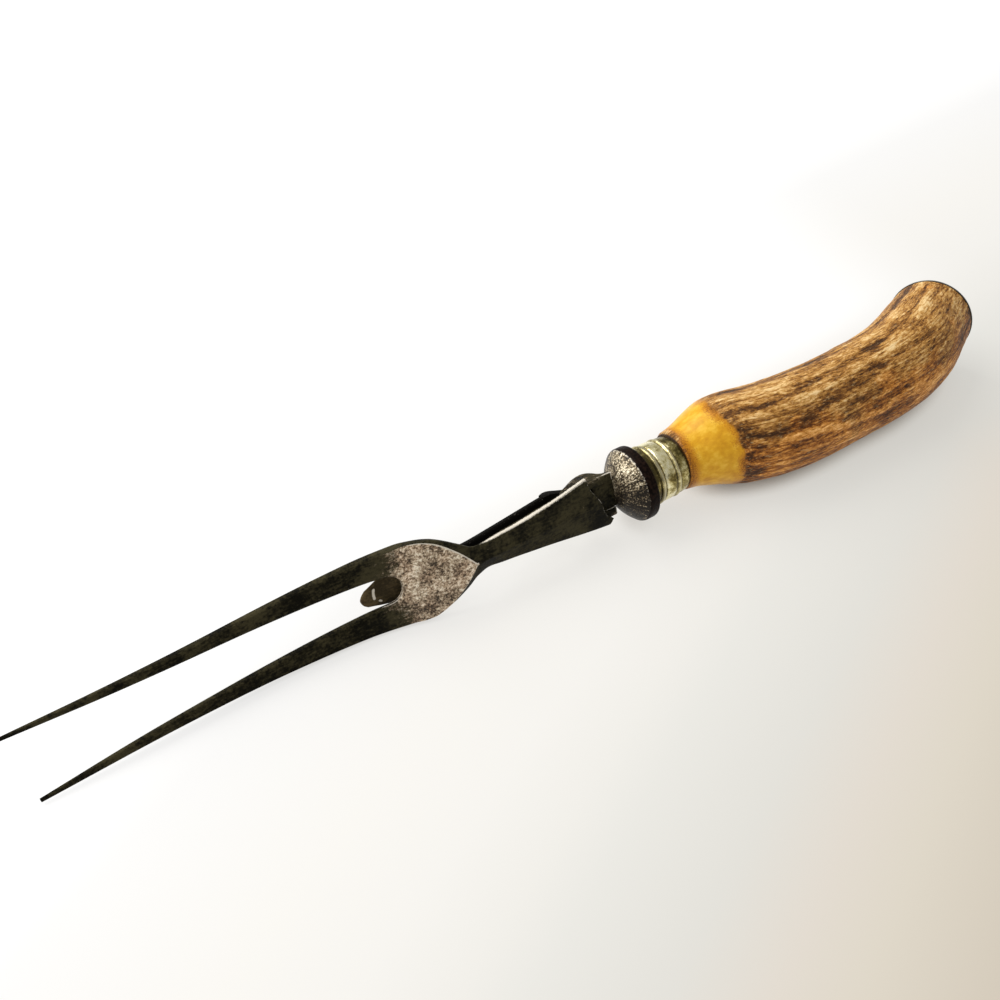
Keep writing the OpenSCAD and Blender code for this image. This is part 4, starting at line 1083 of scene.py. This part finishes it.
# for the camera the floor glows with painted light: white at the upper left of the picture, falling off to
# warm grey at the lower right, and painted shade close round where the object nears the floor; for all other
# light a plain pale floor
where = k.node("ShaderNodeTexCoord").outputs["Object"]
across = k.axis(where, "X")
away = k.add(k.math("MULTIPLY", across, 0.1), k.math("MULTIPLY", k.math("MINIMUM", across, 0.12), 0.4))
away = k.math("SUBTRACT", away, k.axis(where, "Y"))
FLOOR_NEAR, FLOOR_FAR = -0.075, 0.145
place_on = k.node("ShaderNodeMapRange")
k.link(away, place_on.inputs["Value"])
place_on.inputs["From Min"].default_value = FLOOR_NEAR
place_on.inputs["From Max"].default_value = FLOOR_FAR
painted_falloff = k.ramp(place_on.outputs["Result"], [
    (0.0, (1.0, 1.0, 1.0)), (0.14, (0.90, 0.895, 0.885)), (0.34, (0.875, 0.86, 0.825)),
    (0.46, (0.85, 0.835, 0.80)), (0.55, (0.81, 0.795, 0.755)), (0.61, (0.765, 0.755, 0.715)),
    (0.73, (0.715, 0.70, 0.655)), (0.82, (0.71, 0.66, 0.59)), (0.89, (0.685, 0.635, 0.545)),
    (1.0, (0.62, 0.56, 0.47))])
# painted shade: darker where the floor is closed in by the object, within 30 mm and within 5 mm
near = k.node("ShaderNodeAmbientOcclusion", samples=8)
near.inputs["Distance"].default_value = 0.03
wide_shade = k.ramp(near.outputs["AO"], [
    (0.0, (0.80, 0.78, 0.76)), (0.25, (0.885, 0.875, 0.86)), (0.45, (0.95, 0.945, 0.94)),
    (0.65, (0.985, 0.985, 0.985)), (1.0, (1.0, 1.0, 1.0))])
close = k.node("ShaderNodeAmbientOcclusion", samples=8)
close.inputs["Distance"].default_value = 0.005
close_shade = k.ramp(close.outputs["AO"], [
    (0.0, (0.06, 0.05, 0.04)), (0.30, (0.42, 0.39, 0.36)), (0.50, (0.69, 0.67, 0.65)),
    (0.66, (0.86, 0.85, 0.84)), (0.80, (0.95, 0.945, 0.94)), (1.0, (1.0, 1.0, 1.0))])
close_shade = k.mix(k.span(across, 0.0, 0.03), (1.0, 1.0, 1.0), close_shade)
shade = k.mix(1.0, wide_shade, close_shade, "MULTIPLY")
# painted light: behind the object the floor is whiter
behind = k.math("MULTIPLY", k.span(k.axis(where, "Y"), 0.015, 0.045), k.span(across, 0.20, 0.11))
painted_falloff = k.mix(behind, painted_falloff, (1.0, 1.0, 1.0))
glow = k.node("ShaderNodeEmission")
k.link(k.mix(1.0, painted_falloff, shade, "MULTIPLY"), glow.inputs["Color"])
glow.inputs["Strength"].default_value = 0.8
weak = k.node("ShaderNodeBsdfDiffuse")
k.link(k.mix(1.0, painted_falloff, (0.22, 0.22, 0.22), "MULTIPLY"), weak.inputs["Color"])
seen = k.node("ShaderNodeAddShader")
k.link(glow.outputs[0], seen.inputs[0])
k.link(weak.outputs[0], seen.inputs[1])
k.done((0.82, 0.81, 0.79), 0.9, spec=0.1)
path = k.node("ShaderNodeLightPath")
looked = k.math("MAXIMUM", path.outputs["Is Camera Ray"],
                k.math("MAXIMUM", path.outputs["Is Glossy Ray"], path.outputs["Is Transmission Ray"]))
both = k.node("ShaderNodeMixShader")
k.link(looked, both.inputs[0])
k.link(k.bsdf.outputs[0], both.inputs[1])
k.link(seen.outputs[0], both.inputs[2])
k.link(both.outputs[0], k.t.nodes["Material Output"].inputs["Surface"])
floor_mesh.materials.append(k.m)


def area(name, place, target, size, power, color=(1, 1, 1)):
    d = bpy.data.lights.new(name, "AREA")
    d.shape = "RECTANGLE"
    d.size, d.size_y = size
    d.energy = power
    d.color = color
    o = bpy.data.objects.new(name, d)
    o.location = place
    o.rotation_euler = (Vector(target) - Vector(place)).to_track_quat("-Z", "Y").to_euler()
    bpy.context.scene.collection.objects.link(o)
    return o


area("key", (-0.50, 0.75, 0.95), (0.0, 0.0, 0.0), (1.3, 1.3), 26.0, (1.0, 0.985, 0.96))
area("fill", (-0.9, -0.5, 0.9), (0.0, 0.0, 0.0), (1.2, 1.2), 5.0, (1.0, 0.99, 0.98))
world = bpy.data.worlds.new("studio")
world.use_nodes = True
world.node_tree.nodes["Background"].inputs["Color"].default_value = (1.0, 0.99, 0.975, 1)
world.node_tree.nodes["Background"].inputs["Strength"].default_value = 0.40
bpy.context.scene.world = world

# the photograph's viewing angle: place in millimetres, heading, elevation and roll in degrees
CAM_PLACE = (-120.27, -172.01, 219.37)
CAM_HEADING, CAM_ELEVATION, CAM_ROLL = 60.33, -44.10, 2.65
CAM_LENS = 39.6
h, el = math.radians(CAM_HEADING), math.radians(CAM_ELEVATION)
look = Vector((math.cos(h) * math.cos(el), math.sin(h) * math.cos(el), math.sin(el)))
cam_data = bpy.data.cameras.new("camera")
cam_data.lens = CAM_LENS
cam_data.sensor_width = 36.0
cam_data.clip_start, cam_data.clip_end = 0.01, 20.0
cam = bpy.data.objects.new("camera", cam_data)
cam.location = Vector(CAM_PLACE) * MM
cam.rotation_euler = (look.to_track_quat("-Z", "Y").to_matrix()
                      @ Matrix.Rotation(math.radians(-CAM_ROLL), 3, "Z")).to_euler()
bpy.context.scene.collection.objects.link(cam)
bpy.context.scene.camera = cam
bpy.context.scene.view_settings.view_transform = "Standard"

bpy.context.view_layer.update()
